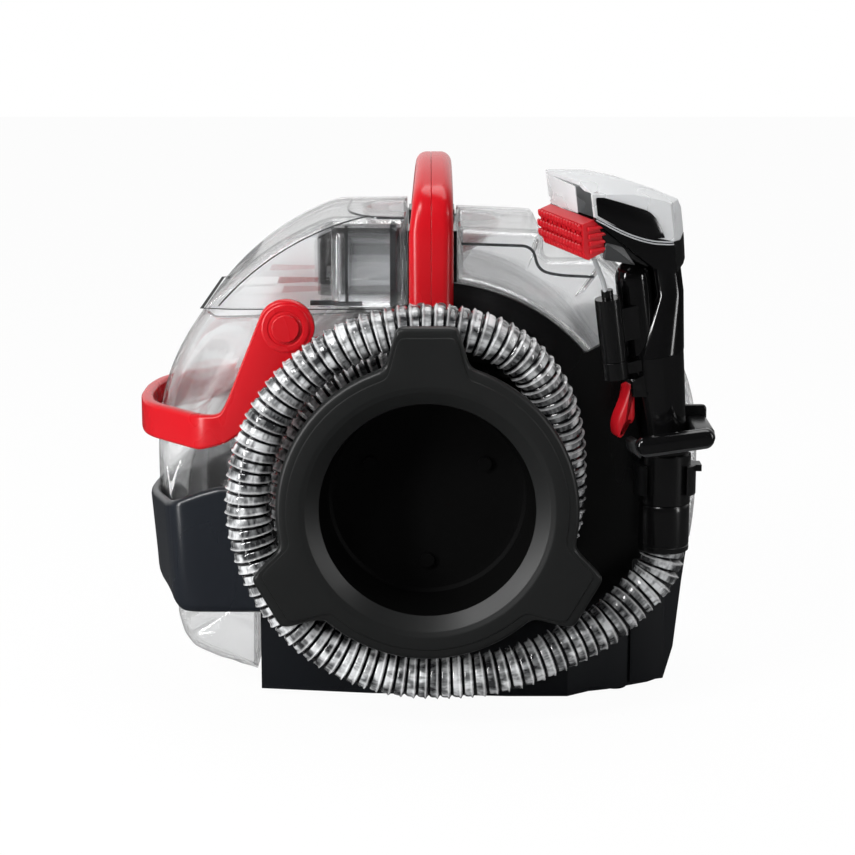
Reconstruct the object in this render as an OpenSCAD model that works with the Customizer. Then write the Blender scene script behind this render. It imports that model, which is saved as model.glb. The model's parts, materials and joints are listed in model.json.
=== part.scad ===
// Spot extractor: a portable machine that sprays and vacuums carpet and upholstery.
// X runs from the dirty tank (left) to the clean tank (right), Y from the hose side to
// the back, Z up from the floor. The body, the hose rack and the hose share one centre line.

/* [Body] */
// Radius of the round outline that both tanks share
body_r = 178; // [172:1:190]
// Height of the common centre of body, rack and hose above the floor
centre_z = 139; // [136:0.5:142]
// Height of the flat top of the tanks
top_z = 304; // [296:1:310]
// Middle of the tanks across the machine
mid_y = 22; // [18:1:26]
// Width of the tanks across the machine
tank_w = 158; // [148:1:166]
// Thickness of the side panels
panel_t = 3; // [2.5:0.5:4]
// Gap between a tank and the side panels
panel_gap = 4; // [3:0.5:6]

/* [Drum housing] */
// Radius of the drum housing on the dirty tank side
drum_left_r = 106; // [100:1:108]
// Radius of the drum housing on the clean tank side
drum_right_r = 128; // [120:1:130]
// Wall of the drum housing
drum_wall = 3; // [2:0.5:4]
// Gap between the drum housing and the tanks
drum_gap = 1; // [0.6:0.2:2]
// Left side of the spine between the tanks
spine_left_x = -12.5; // [-14:0.5:-11]
// Width of the spine between the tanks
spine_w = 30.5; // [27:0.5:32]
// Height of the duct pillars at the ends of the spine
pillar_z = 297; // [290:1:300]
// Depth of each duct pillar
pillar_d = 40; // [34:1:44]
// Radius of the hollow for the fingers under the handle
dish_r = 48; // [40:1:50]
// Height of the centre of that hollow
dish_z = 320; // [318:1:326]

/* [Base] */
// Height of the feet
foot_h = 4; // [3:0.5:6]
// Radius of each foot
foot_r = 9; // [7:0.5:12]
// Thickness of the bottom cover
plate_t = 2.5; // [2:0.5:4]
// Height of the top of the main base
base_top_z = 58; // [56:0.5:60]
// Height of the shelf that carries the clean tank
shelf_z = 92; // [88:1:98]
// Wall of the base
base_wall = 3; // [2.5:0.5:4]
// Widening of the right end of the base from floor to shelf
base_flare = 16; // [8:1:18]

/* [Tank belt] */
// Wall of the belt round the dirty tank
belt_wall = 3; // [2.5:0.5:4]
// Height of the top edge of the belt at its near side
belt_top_z = 137; // [130:1:140]
// Drop of that edge towards the nose
belt_drop = 17; // [8:1:22]

/* [Dirty tank] */
// Wall of the tanks
tank_wall = 2.5; // [2:0.25:3.5]
// Height of the joint between tank and lid
lid_z = 248; // [240:1:252]
// Height of the lowest point of the dirty tank
sump_z = 20; // [16:1:26]
// Step inwards of the sump below the belt
sump_step = 12; // [6:0.5:15]
// Play between the lid's skirt and the tank
skirt_play = 0.5; // [0.3:0.1:1]
// Depth of the lid's skirt
skirt_h = 8; // [5:1:12]
// Width of the inlet column
column_w = 44; // [34:1:46]
// Radius of the float ball
float_r = 9; // [7:0.5:10]

/* [Bail] */
// Sideways place of the bail's pivot
bail_x = -86; // [-90:0.5:-84]
// Height of the bail's pivot
bail_z = 239; // [236:0.5:240]
// Radius of the round end of the bail's arm
boss_r = 17.5; // [14:0.5:18]
// Thickness of the bail
bail_t = 8; // [7:0.5:9]
// Height of the bail's grip bar
bar_h = 22; // [16:1:24]
// Height of the grip bar's lower edge
bar_z = 163; // [156:1:168]
// Radius of the bail's pins
pin_r = 4; // [3:0.5:5]
// Radial play of a pin in its bore
pin_play = 0.06; // [0.03:0.01:0.1]

/* [Clean tank] */
// Height of the clean tank's top
clean_top_z = 298; // [290:1:304]
// Left end of the rest for the tool's brush in the tank's top
notch_x = 71; // [66:1:78]
// Height of that rest
notch_z = 279; // [274:1:290]
// Radius of the cap under the tank
cap_r = 9.5; // [8.5:0.5:11]
// Play of the cap in its socket
cap_play = 1; // [0.6:0.2:2]
// Height of the cap
cap_h = 12; // [9:1:14]
// Radius of the valve plunger
plunger_r = 3; // [2:0.5:4]

/* [Carry handle] */
// Width of the handle's legs
handle_w = 27; // [24:0.5:28]
// Width of the handle's grip at its top
handle_top_w = 22.5; // [18:0.5:24]
// Height of the top of the handle
handle_z = 338; // [334:1:344]
// Height of the lower ends of its legs
leg_z = 240; // [239:1:246]
// Thickness of its legs
leg_t = 12; // [10:0.5:13]
// Gap between the two halves of the handle
half_gap = 0.2; // [0.1:0.1:0.6]

/* [Hose rack] */
// Radius of the rack's round flange
flange_r = 89.5; // [84:0.5:91]
// Front face of the rack, measured from the near side panel
rack_reach = 73; // [70:1:76]
// Thickness of the flange
flange_t = 8; // [6:0.5:9]
// Outer radius of the rack's drum
rack_drum_r = 64; // [60:0.5:65]
// Wall of the rack's drum
rack_wall = 3; // [2:0.5:4]
// Radius of the opening at the front of the rack
mouth_r = 73; // [70:0.5:76]
// Outermost radius of the rack's lugs
lug_r = 111; // [106:1:113]
// Width of a lug at its tip
lug_w = 36; // [28:1:40]
// Depth of the rack's dish
dish_depth = 48; // [36:1:56]

/* [Hose] */
// Outer diameter of the hose over its ribs
hose_d = 28; // [26:0.5:28]
// Bore of the hose
hose_bore = 22; // [18:0.5:23]
// Distance from rib to rib
rib_pitch = 6.8; // [6.2:0.2:9]
// Height of a rib
rib_h = 1.5; // [0.8:0.1:1.8]
// Radius of the outer turn of the hose
loop_r = 107.5; // [107:0.5:109]
// Radius of the inner turn of the hose
inner_loop_r = 83; // [81.5:0.5:84]

/* [Wand] */
// Sideways place of the wand's stem
stem_x = 144.5; // [143:0.5:146]
// Outer radius of the stem
stem_r = 15.7; // [15:0.1:16]
// Radius of the air way through the wand
air_r = 11; // [9:0.5:11.5]
// Height of the joint between stem and grip
grip_z = 172; // [168:1:176]
// Height of the joint between stem and hose cuff
cuff_z = 134; // [130:1:138]
// Length of the hose cuff
cuff_l = 30; // [28:1:34]
// Length of the grip
grip_l = 55; // [50:1:58]
// Lean of the grip towards the body
wand_lean_x = 7.5; // [5:0.5:9]
// Lean of the grip away from the machine
wand_lean_y = 6.5; // [5:0.5:7]
// Turn of the tool about the grip
wand_yaw = 21; // [15:1:24]
// Width of the tool's mouth
nozzle_w = 64; // [56:1:66]
// Height of the slot in the tool's mouth
slot_h = 7; // [4:0.5:8]
// Width of the trigger
trigger_w = 13; // [10:0.5:14]

/* [Hook] */
// Thickness of the hook's bar
hook_t = 11.5; // [9:0.5:13]
// Length of the hook's bar
hook_l = 48; // [44:1:50]

/* [Machinery] */
// Radius of the fan housing
fan_r = 64; // [56:1:68]
// Depth of the fan housing
fan_d = 34; // [28:1:38]
// Radius of the motor
motor_r = 42; // [36:1:46]
// Radius of the motor shaft
shaft_r = 4; // [3:0.5:5]
// Radial play of the shaft in its bearings
shaft_play = 0.05; // [0.03:0.01:0.1]
// Number of fan blades
blades = 9; // [5:1:12]

/* [Back] */
// Reach of the cord hooks behind the back panel
cord_hook_reach = 36; // [30:1:38]

/* [Hidden] */
$fn = 96;

// Planes across the machine
near_y = mid_y - tank_w / 2;
far_y = mid_y + tank_w / 2;
drum_near_y = near_y - panel_gap;
drum_far_y = far_y + panel_gap;
panel_near_y = drum_near_y - panel_t;
panel_far_y = drum_far_y + panel_t;
rack_front_y = panel_near_y - rack_reach;
rack_back_y = rack_front_y + flange_t;

// Spine and tank ends
spine_right_x = spine_left_x + spine_w;
spine_x = (spine_left_x + spine_right_x) / 2;
dirty_end_x = spine_left_x - drum_gap;
clean_end_x = spine_right_x + drum_gap;
shoulder_z = lid_z + 6;
shoulder_in = 9;
dish_x = spine_x + 1.5;
dish_y = mid_y + 6;
port_z = 276;
port_r = 9;
duct_r = 11.5;
duct_bore = 9.5;
near_port_y = drum_near_y + pillar_d / 2;
far_port_y = drum_far_y - 25;
panel_left_r = 114;

// Half of a tank's plan, from the middle of the machine to the nose: [x, distance from mid_y]
plan_half = [
    [0, tank_w / 2], [body_r - 57, tank_w / 2], [body_r - 31, tank_w / 2 - 8],
    [body_r - 12, tank_w / 2 - 27], [body_r - 4, tank_w / 2 - 52], [body_r + 1, 0],
];
plan_edge = concat(plan_half, [for (i = [len(plan_half) - 2:-1:0])
    [plan_half[i][0], -plan_half[i][1]]]);

// Base
base_z = foot_h + plate_t;
base_left_x = -drum_left_r + 0.5;
base_right_x = 151;
half_w = tank_w / 2;
base_half = [
    [base_left_x, half_w - 6], [-35, half_w + 4], [50, half_w + 10], [88, half_w + 10],
    [102, half_w], [114, half_w - 4], [141, half_w - 19], [base_right_x, half_w - 29],
];
base_edge = concat(base_half, [for (i = [len(base_half) - 1:-1:0])
    [base_half[i][0], -base_half[i][1]]]);
shelf_left_x = drum_right_r + drum_gap;
tank_low_z = shelf_z + 0.5;
cap_top_z = shelf_z + 0.2;
neck_r = cap_r - 2.5;
socket_r = cap_r + cap_play + 2;
cap_x = shelf_left_x + base_wall + socket_r + 3.5;
socket_low_z = shelf_z - cap_h - 14;
foot_at = [for (f = [-1, 1]) each [[-85, mid_y + f * (half_w - 39)], [120, mid_y + f * (half_w - 24)]]];
base_screw_at = [for (f = [-1, 1]) each [[-86, mid_y + f * (half_w - 24)], [77, mid_y + f * (half_w - 9)]]];

// Bail
bail_in = panel_near_y - 1;
bail_far = 2 * mid_y - bail_in;
nose_x = body_r + 10;
bail_mid_x = -nose_x + 47;
bail_bend_x = -nose_x + 6;

// Handle
handle_in_y = panel_near_y;
handle_out_y = handle_in_y - leg_t;
handle_far_y = panel_far_y + leg_t;

// Hose
hose_r = hose_d / 2;
loop_y = rack_back_y + 4 + hose_r;
inner_loop_y = loop_y + hose_d;
cuff_bore = hose_r + 0.3;
elbow_bend = 19;
elbow_x = 55;
elbow_z = centre_z + inner_loop_r;
hose_end_x = elbow_x - elbow_bend - 3;
lug_at = [90, 210, 330];
screw_angles = [30, 150, 270];

// Back panel
grille_x = 76;
grille_z = 110;
grille_w = 60;
grille_h = 46;
switch_x = 60;
switch_z = 200;
hook_x = -55;
turning_z = 205;
fixed_z = 95;
gland_x = 30;
gland_z = 30;
gland_r = 8;
gland_y = mid_y + half_w + 9.3;
stem_y = panel_near_y - 3.3 - stem_r;

hook_y = -113;
hook_z = 177;
hook_right_x = 171;

// Wand
stem_top_z = grip_z - 2;
knuckle_r = stem_r - 0.4;
barrel_u = -30;
barrel_v = -8;
barrel_r = 7.8;
cuff_end_z = cuff_z - cuff_l;
grip_top = 2 + grip_l;
grip_low_r = stem_r - 1.3;
grip_top_r = 17.6;
trigger_pivot = [-17, 40];

// Machinery
motor_front_y = drum_near_y + 14;
motor_back_y = 6;
bearing_r = shaft_r + 7;
pump_x = 66;
pump_y = mid_y - 12;
line_x = 80;
line_y = drum_near_y + 9;
fan_back_y = 46;
fan_front_y = fan_back_y - fan_d;

// Helpers ------------------------------------------------------------------

// Extrudes a shape drawn in X and Z along Y
module along_y(y0, y1) {
    translate([0, y1, 0]) rotate([90, 0, 0]) linear_extrude(y1 - y0) children();
}

// Extrudes a shape drawn in Y and Z along X
module along_x(x0, x1) {
    translate([x0, 0, 0]) rotate([90, 0, 90]) linear_extrude(x1 - x0) children();
}

module block(lo, hi) {
    translate(lo) cube(hi - lo);
}

module rod_y(x, z, r, y0, y1) {
    translate([x, y1, z]) rotate([90, 0, 0]) cylinder(r = r, h = y1 - y0);
}

module rod_x(y, z, r, x0, x1) {
    translate([x0, y, z]) rotate([0, 90, 0]) cylinder(r = r, h = x1 - x0);
}

module rod_z(x, y, r, z0, z1) {
    translate([x, y, z0]) cylinder(r = r, h = z1 - z0);
}

// Turns children about the rack's centre line
module about_centre(angle) {
    translate([0, 0, centre_z]) rotate([0, -angle, 0]) children();
}

// Tanks --------------------------------------------------------------------

// Plan of one tank: side is -1 for the dirty one and 1 for the clean one
module tank_plan(side, inset) {
    offset(delta = -inset)
        polygon([for (p = plan_edge) [side * p[0], mid_y + p[1]]]);
}

// Round body that both tanks are parts of, drawn in by inset
module body_form(side, inset) {
    intersection() {
        linear_extrude(top_z - inset) tank_plan(side, inset);
        along_y(near_y + inset, far_y - inset)
            translate([0, centre_z]) circle(body_r - inset, $fn = 160);
        along_x(-body_r * 1.1, body_r * 1.1) polygon([
            [near_y + inset, 0], [far_y - inset, 0],
            [far_y - inset, shoulder_z], [far_y - shoulder_in - inset, top_z - inset],
            [near_y + shoulder_in + inset, top_z - inset], [near_y + inset, shoulder_z],
        ]);
    }
}

// Space that the drum housing takes from a tank: the drum and all that lies below it
module drum_space(side, r) {
    along_y(near_y - 50, far_y + 50) translate([0, centre_z]) {
        circle(r, $fn = 160);
        mirror([side < 0 ? 1 : 0, 0]) translate([-r, -centre_z]) square([2 * r, centre_z]);
    }
}

module finger_dish(r) {
    translate([dish_x, dish_y, dish_z]) sphere(r);
}

// Dirty tank and its lid as one closed form above the belt
module dirty_form(inset) {
    difference() {
        body_form(-1, inset);
        drum_space(-1, drum_left_r + drum_gap + inset);
        translate([dirty_end_x - inset, near_y - 50, 0]) cube([300, tank_w + 100, 400]);
        finger_dish(dish_r + inset);
        block([-body_r * 1.2, near_y - 50, -1], [0, far_y + 50, base_top_z + 4]);
    }
}

// Sump: the part of the dirty tank that reaches down outside the base
module sump_form(inset) {
    sump_right_x = -drum_left_r - drum_gap - inset;
    sump_in = sump_step + inset;
    intersection() {
        hull() {
            translate([0, 0, sump_z + 10]) linear_extrude(base_top_z + 4 - sump_z - 10 + inset)
                tank_plan(-1, sump_in);
            translate([0, 0, sump_z + inset]) linear_extrude(0.1)
                tank_plan(-1, sump_in + 10);
        }
        translate([-body_r * 1.2, near_y - 50, 0])
            cube([body_r * 1.2 + sump_right_x, tank_w + 100, 400]);
    }
}

module dirty_tank() {
    color([0.85, 0.88, 0.90, 0.35]) difference() {
        union() {
            intersection() {
                dirty_form(0);
                block([-400, -400, 0], [400, 400, lid_z]);
            }
            sump_form(0);
            for (y = [near_y, far_y - 6]) rod_y(bail_x, bail_z, pin_r + 4, y, y + 6);
            rod_y(bail_x, bail_z, pin_r + 4, bail_in + 0.3, near_y + 1);
            rod_y(bail_x, bail_z, pin_r + 4, far_y - 1, 2 * mid_y - bail_in - 0.3);
        }
        difference() {
            union() {
                dirty_form(tank_wall);
                sump_form(tank_wall);
                block([-body_r + 22, near_y + 22, base_top_z - 1],
                    [-drum_left_r - drum_gap - tank_wall, far_y - 22, base_top_z + 8]);
            }
            for (y = [near_y, far_y - 6]) rod_y(bail_x, bail_z, pin_r + 4, y, y + 6);
        }
        rod_y(bail_x, bail_z, pin_r, bail_in - 1, near_y + 7);
        rod_y(bail_x, bail_z, pin_r, far_y - 7, 2 * mid_y - bail_in + 1);
    }
}

module tank_lid() {
    column_x = dirty_end_x - column_w;
    color([0.87, 0.90, 0.92, 0.32]) difference() {
        union() {
            difference() {
                dirty_form(0);
                difference() {
                    dirty_form(tank_wall);
                    block([column_x, near_y, lid_z - 1], [0, near_port_y + 20, 400]);
                }
                block([-400, -400, 0], [400, 400, lid_z + 0.4]);
            }
            lid_skirt();
        }
        intersection() {
            dirty_form(tank_wall);
            block([column_x + 2, near_y, 0], [0, near_port_y + 18, 400]);
        }
        rod_x(near_port_y, port_z, port_r, dirty_end_x - 10, dirty_end_x + 10);
        rod_x(far_port_y, port_z, port_r, dirty_end_x - 10, dirty_end_x + 10);
    }
}

// Rim of the lid that dips into the tank
module lid_skirt() {
    skirt_x = skirt_play - sqrt(pow(body_r - tank_wall, 2) - pow(lid_z - centre_z, 2));
    difference() {
        intersection() {
            dirty_form(tank_wall + skirt_play);
            block([skirt_x, -400, 0], [400, 400, 400]);
        }
        intersection() {
            dirty_form(tank_wall + skirt_play + 2);
            block([skirt_x + 2, -400, 0], [400, 400, 400]);
        }
        block([-400, -400, 0], [400, 400, lid_z - skirt_h]);
        block([-400, -400, lid_z + 3], [400, 400, 400]);
        rod_y(bail_x, bail_z, pin_r + 5, near_y, near_y + 8);
        rod_y(bail_x, bail_z, pin_r + 5, far_y - 8, far_y);
    }
    difference() {
        dirty_form(0.4);
        dirty_form(tank_wall + skirt_play + 2);
        block([-400, -400, 0], [400, 400, lid_z + 0.4]);
        block([-400, -400, lid_z + 3], [400, 400, 400]);
    }
}

// Seal between the tank's rim and the lid
module lid_seal() {
    color([0.25, 0.26, 0.27]) difference() {
        dirty_form(0.6);
        dirty_form(tank_wall - 0.2);
        block([-400, -400, 0], [400, 400, lid_z]);
        block([-400, -400, lid_z + 0.4], [400, 400, 400]);
    }
}

// Air outlet inside the lid, turned down at its end to hold the float
cage_in_r = float_r + 1.2;
cage_r = cage_in_r + 1.6;
cage_z = lid_z - 9;
cage_x = -sqrt(pow(drum_left_r + drum_gap + tank_wall, 2) - pow(cage_z - 9.8 - centre_z, 2));
module float_cage() {
    color([0.16, 0.17, 0.18]) difference() {
        union() {
            rod_x(far_port_y, port_z, port_r + 1.6, cage_x, dirty_end_x - tank_wall);
            rod_z(cage_x, far_port_y, cage_r, cage_z, port_z);
            translate([cage_x, far_port_y, port_z]) sphere(cage_r);
        }
        rod_x(far_port_y, port_z, port_r - 0.5, cage_x, dirty_end_x + 1);
        rod_z(cage_x, far_port_y, cage_in_r, cage_z + 2, port_z - 12);
        rod_z(cage_x, far_port_y, float_r - 2, cage_z - 1, port_z);
        for (a = [0, 90]) translate([cage_x, far_port_y, cage_z + 8]) rotate([0, 0, a])
            cube([3 * cage_r, 6, 10], center = true);
    }
}

module float_ball() {
    color([0.92, 0.55, 0.16]) translate([cage_x, far_port_y, cage_z + 2.6 + float_r])
        sphere(float_r);
}

// Bail that carries and latches the dirty tank
module bail_plan(end_x) {
    polygon([
        [end_x, bail_in - bail_t], [bail_mid_x, bail_in - bail_t],
        [bail_bend_x, mid_y - half_w + 30],
        [-nose_x, mid_y - half_w + 62], [-nose_x, mid_y + half_w - 62],
        [bail_bend_x, mid_y + half_w - 30],
        [bail_mid_x, bail_far + bail_t], [end_x, bail_far + bail_t],
    ]);
}

module bail() {
    color([0.72, 0.08, 0.10]) difference() {
        intersection() {
            linear_extrude(top_z) difference() {
                bail_plan(bail_x + boss_r + 5);
                offset(delta = -bail_t) bail_plan(0);
            }
            along_y(bail_in - 20, bail_far + 20) union() {
                hull() {
                    translate([bail_x, bail_z]) circle(boss_r);
                    translate([bail_mid_x + 6, bar_z + bar_h / 2 + 2]) circle(bar_h / 2);
                }
                translate([-nose_x, bar_z]) square([nose_x + bail_mid_x + 6, bar_h]);
            }
        }
        rod_y(bail_x, bail_z, pin_r + pin_play, bail_in - 20, bail_far + 20);
    }
}

module bail_pins() {
    pin_out = bail_in - bail_t - 0.3;
    color([0.62, 0.06, 0.08]) for (far = [0, 1])
        translate([0, far * 2 * mid_y, 0]) mirror([0, far, 0]) {
            rod_y(bail_x, bail_z, pin_r, pin_out - 0.01, near_y + 5);
            rod_y(bail_x, bail_z, pin_r + 4.5, pin_out - 2, pin_out);
        }
}

module clean_form(inset) {
    difference() {
        body_form(1, inset);
        drum_space(1, drum_right_r + drum_gap + inset);
        block([-50, near_y - 50, 0], [clean_end_x + inset, far_y + 50, 400]);
        block([notch_x - inset, near_y - 50, notch_z - inset], [400, far_y + 50, 400]);
        finger_dish(dish_r + inset);
        block([-50, near_y - 50, 0], [400, far_y + 50, tank_low_z + inset]);
        block([-50, near_y - 50, clean_top_z - inset], [400, far_y + 50, 400]);
    }
}

module clean_tank() {
    color([0.86, 0.89, 0.91, 0.35]) difference() {
        union() {
            clean_form(0);
            rod_y(body_r - 2.5, centre_z + 22, 8.5, mid_y - 42, mid_y + 42);
            rod_z(cap_x, mid_y, neck_r, cap_top_z - 6, tank_low_z + 1);
        }
        difference() {
            clean_form(tank_wall);
            rod_y(body_r - 2.5, centre_z + 22, 8.5, mid_y - 42, mid_y + 42);
        }
        rod_z(cap_x, mid_y, neck_r - 1.6, cap_top_z - 7, tank_low_z + tank_wall + 1);
    }
}

module tank_cap() {
    color([0.12, 0.12, 0.13]) difference() {
        union() {
            rod_z(cap_x, mid_y, cap_r, cap_top_z - cap_h, cap_top_z);
            for (a = [0:30:150]) translate([cap_x, mid_y, cap_top_z - cap_h / 2])
                rotate([0, 0, a]) cube([2 * cap_r + 1, 2, cap_h - 2], center = true);
        }
        rod_z(cap_x, mid_y, neck_r + 0.06, cap_top_z - cap_h + 3, cap_top_z + 1);
        rod_z(cap_x, mid_y, plunger_r + 0.06, cap_top_z - cap_h - 1, cap_top_z);
    }
}

module valve_plunger() {
    color([0.75, 0.76, 0.77]) {
        rod_z(cap_x, mid_y, plunger_r, cap_top_z - cap_h - 4, cap_top_z - cap_h + 4);
        rod_z(cap_x, mid_y, neck_r - 2, cap_top_z - cap_h + 3.1, cap_top_z - cap_h + 4.5);
    }
}

// Base ---------------------------------------------------------------------

module base_plan() {
    polygon([for (p = base_edge) [p[0], mid_y + p[1]]]);
}

// Flared right end of the base, up to the shelf for the clean tank
module flare_form(inset) {
    flare = base_flare;
    intersection() {
        along_y(-100, 150) polygon([
            [shelf_left_x + inset, base_z + 0.1], [base_right_x - inset, base_z + 0.1],
            [base_right_x + flare * 0.45 - inset, base_z + 18],
            [base_right_x + flare * 0.8 - inset, base_z + 60],
            [base_right_x + flare - inset, shelf_z - 6], [base_right_x + flare - inset, shelf_z - inset],
            [shelf_left_x + inset, shelf_z - inset],
        ]);
        linear_extrude(200) offset(delta = -inset) polygon([
            [shelf_left_x - 30, mid_y - half_w + 4], [shelf_left_x + 3, mid_y - half_w + 11],
            [base_right_x, mid_y - half_w + 19], [base_right_x + flare + 1, mid_y - half_w + 45],
            [base_right_x + flare + 1, mid_y + half_w - 45], [base_right_x, mid_y + half_w - 19],
            [shelf_left_x + 3, mid_y + half_w - 11], [shelf_left_x - 30, mid_y + half_w - 4],
        ]);
    }
}

module base_shell() {
    color([0.17, 0.18, 0.20]) difference() {
        union() {
            translate([0, 0, base_z]) linear_extrude(base_top_z - base_z) base_plan();
            flare_form(0);
        }
        translate([0, 0, base_z - 1]) linear_extrude(base_top_z - base_z + 1 - base_wall)
            offset(delta = -base_wall) base_plan();
        flare_form(base_wall);
        block([shelf_left_x - 10, mid_y - 40, base_z + 1],
            [shelf_left_x + 10, mid_y + 40, base_top_z - base_wall]);
        rod_z(cap_x, mid_y, socket_r + 0.1, shelf_z - 8, shelf_z + 1);
        rod_z(pump_x, pump_y, 3.5, base_top_z - 5, base_top_z + 1);
        rod_y(gland_x, gland_z, gland_r, far_y, far_y + 30);
    }
}

module base_plate() {
    color([0.13, 0.13, 0.14]) difference() {
        translate([0, 0, foot_h]) linear_extrude(plate_t) base_plan();
        for (p = base_screw_at) rod_z(p[0], p[1], 2, 0, base_z + 1);
    }
}

module feet() {
    color([0.10, 0.10, 0.10]) for (p = foot_at) translate([p[0], p[1], 0]) difference() {
        cylinder(r1 = foot_r - 1, r2 = foot_r, h = foot_h);
        translate([0, 0, -1]) cylinder(r = 3, h = 2.5);
    }
}

module base_screws() {
    color([0.55, 0.56, 0.58]) for (p = base_screw_at) {
        rod_z(p[0], p[1], 3.6, foot_h - 1.6, foot_h);
        rod_z(p[0], p[1], 2, foot_h - 0.5, base_z + 6);
    }
}

// Belt round the dirty tank, joined to the drum housing
module belt_form(inset) {
    hull() {
        translate([0, 0, base_top_z]) linear_extrude(0.1)
            offset(delta = -inset - panel_gap - panel_t + belt_wall + 0.4) belt_plan();
        translate([0, 0, belt_top_z + 4]) linear_extrude(0.1) offset(delta = -inset) belt_plan();
    }
}

module belt_plan() {
    polygon([
        [-60, panel_near_y], [-body_r + 15, panel_near_y], [-body_r - 5.5, mid_y - half_w + 62],
        [-body_r - 5.5, mid_y + half_w - 62], [-body_r + 15, panel_far_y], [-60, panel_far_y],
    ]);
}

module tank_belt() {
    edge = belt_top_z - belt_drop;
    color([0.20, 0.23, 0.27]) difference() {
        union() {
            difference() {
                belt_form(0);
                belt_form(belt_wall);
            }
            block([-108, panel_near_y + 1, base_top_z], [-100, drum_near_y, base_top_z + 70]);
            block([-108, drum_far_y, base_top_z], [-100, panel_far_y - 1, base_top_z + 70]);
        }
        along_y(-200, 250) polygon([
            [-body_r - 20, edge - 1], [-body_r - 4, edge], [-body_r + 18, edge + 7],
            [-body_r + 56, edge + 14], [-100, belt_top_z + 2], [-100, 250], [-body_r - 20, 250],
        ]);
        rod_y(0, centre_z, panel_left_r + 0.4, -200, 250);
        block([-drum_left_r, drum_near_y, 0], [0, drum_far_y, 300]);
        block([-82, -200, 0], [0, 250, 300]);
    }
}

// Body ---------------------------------------------------------------------

// Outline of the drum housing, drawn in by inset
module drum_outline(inset) {
    intersection() {
        translate([0, centre_z]) circle(drum_left_r - inset, $fn = 160);
        translate([-300, base_top_z]) square([600, 500]);
    }
    intersection() {
        translate([0, centre_z]) circle(drum_right_r - inset, $fn = 160);
        translate([spine_left_x + inset, base_top_z]) square([300, 500]);
    }
    translate([-drum_left_r + inset, base_top_z])
        square([drum_left_r + drum_right_r - 2 * inset, centre_z - base_top_z]);
}

module pillar(y0, y1, inset) {
    block([spine_left_x + inset, y0 + inset, centre_z + 60],
        [spine_right_x - inset, y1 - inset, pillar_z - inset]);
}

module drum_housing() {
    color([0.07, 0.07, 0.08]) difference() {
        union() {
            along_y(drum_near_y, drum_far_y) drum_outline(0);
            pillar(drum_near_y, drum_near_y + pillar_d, 0);
            pillar(drum_far_y - pillar_d, drum_far_y, 0);
        }
        along_y(drum_near_y + drum_wall, drum_far_y - drum_wall) drum_outline(drum_wall);
        pillar(drum_near_y, drum_near_y + pillar_d, drum_wall);
        pillar(drum_far_y - pillar_d, drum_far_y, drum_wall);
        block([-drum_left_r + drum_wall, drum_near_y + drum_wall, base_top_z - 1],
            [drum_right_r - drum_wall, drum_far_y - drum_wall, base_top_z + 5]);
        rod_x(near_port_y, port_z, duct_r + 0.1, spine_left_x - 5, spine_x);
        rod_x(far_port_y, port_z, duct_r + 0.1, spine_left_x - 5, spine_x);
        rod_y(elbow_x, elbow_z, duct_r + 0.1, drum_near_y - 1, drum_near_y + 5);
        far_openings(drum_far_y - 5, drum_far_y + 1);
    }
}

// Openings shared by the drum housing's back wall and the back panel
module far_openings(y0, y1) {
    block([grille_x - grille_w / 2, y0, grille_z - grille_h / 2],
        [grille_x + grille_w / 2, y1, grille_z + grille_h / 2]);
    block([switch_x - 11, y0, switch_z - 15], [switch_x + 11, y1, switch_z + 15]);
    rod_y(hook_x, turning_z, 6.06, y0, y1);
}

// Outline of the side panels
module panel_outline() {
    intersection() {
        translate([0, centre_z]) circle(panel_left_r, $fn = 160);
        translate([-200, base_top_z]) square([200, 300]);
    }
    intersection() {
        translate([0, centre_z]) circle(drum_right_r, $fn = 160);
        translate([-1, base_top_z]) square([200, 300]);
    }
    translate([0, base_top_z]) square([drum_right_r, 60]);
}

// Guard of the side panels beside the clean tank
module guard_outline() {
    polygon([
        [96, shelf_z], [96, centre_z + 84], [107, centre_z + 90], [150, centre_z + 90],
        [157, centre_z + 11], [160, shelf_z],
    ]);
}

module near_panel() {
    color([0.17, 0.18, 0.20]) difference() {
        union() {
            along_y(panel_near_y, drum_near_y) panel_outline();
            along_y(panel_near_y, drum_near_y) guard_outline();
        }
        rod_y(elbow_x, elbow_z, duct_r + 0.1, panel_near_y - 1, drum_near_y + 1);
    }
}

module far_panel() {
    color([0.17, 0.18, 0.20]) difference() {
        union() {
            along_y(drum_far_y, panel_far_y) panel_outline();
            along_y(drum_far_y, panel_far_y) guard_outline();
        }
        far_openings(drum_far_y - 1, panel_far_y + 1);
    }
}

module exhaust_grille() {
    color([0.09, 0.09, 0.10]) difference() {
        union() {
            block([grille_x - grille_w / 2 + 0.3, drum_far_y - 3, grille_z - grille_h / 2 + 0.3],
                [grille_x + grille_w / 2 - 0.3, panel_far_y, grille_z + grille_h / 2 - 0.3]);
            block([grille_x - grille_w / 2 - 4, panel_far_y, grille_z - grille_h / 2 - 4],
                [grille_x + grille_w / 2 + 4, panel_far_y + 2, grille_z + grille_h / 2 + 4]);
        }
        for (z = [-grille_h / 2 + 5:8:grille_h / 2 - 8])
            block([grille_x - grille_w / 2 + 4, drum_far_y - 4, grille_z + z],
                [grille_x + grille_w / 2 - 4, panel_far_y + 3, grille_z + z + 4.5]);
    }
}

module cord_gland() {
    color([0.08, 0.08, 0.08]) difference() {
        union() {
            rod_y(gland_x, gland_z, gland_r, gland_y - base_wall - 2, gland_y + 0.1);
            rod_y(gland_x, gland_z, gland_r + 2.5, gland_y, gland_y + 3);
            rod_y(gland_x, gland_z, gland_r - 2, gland_y + 3, gland_y + 16);
        }
        rod_y(gland_x, gland_z, 3.2, gland_y - 10, gland_y + 20);
    }
}

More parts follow.
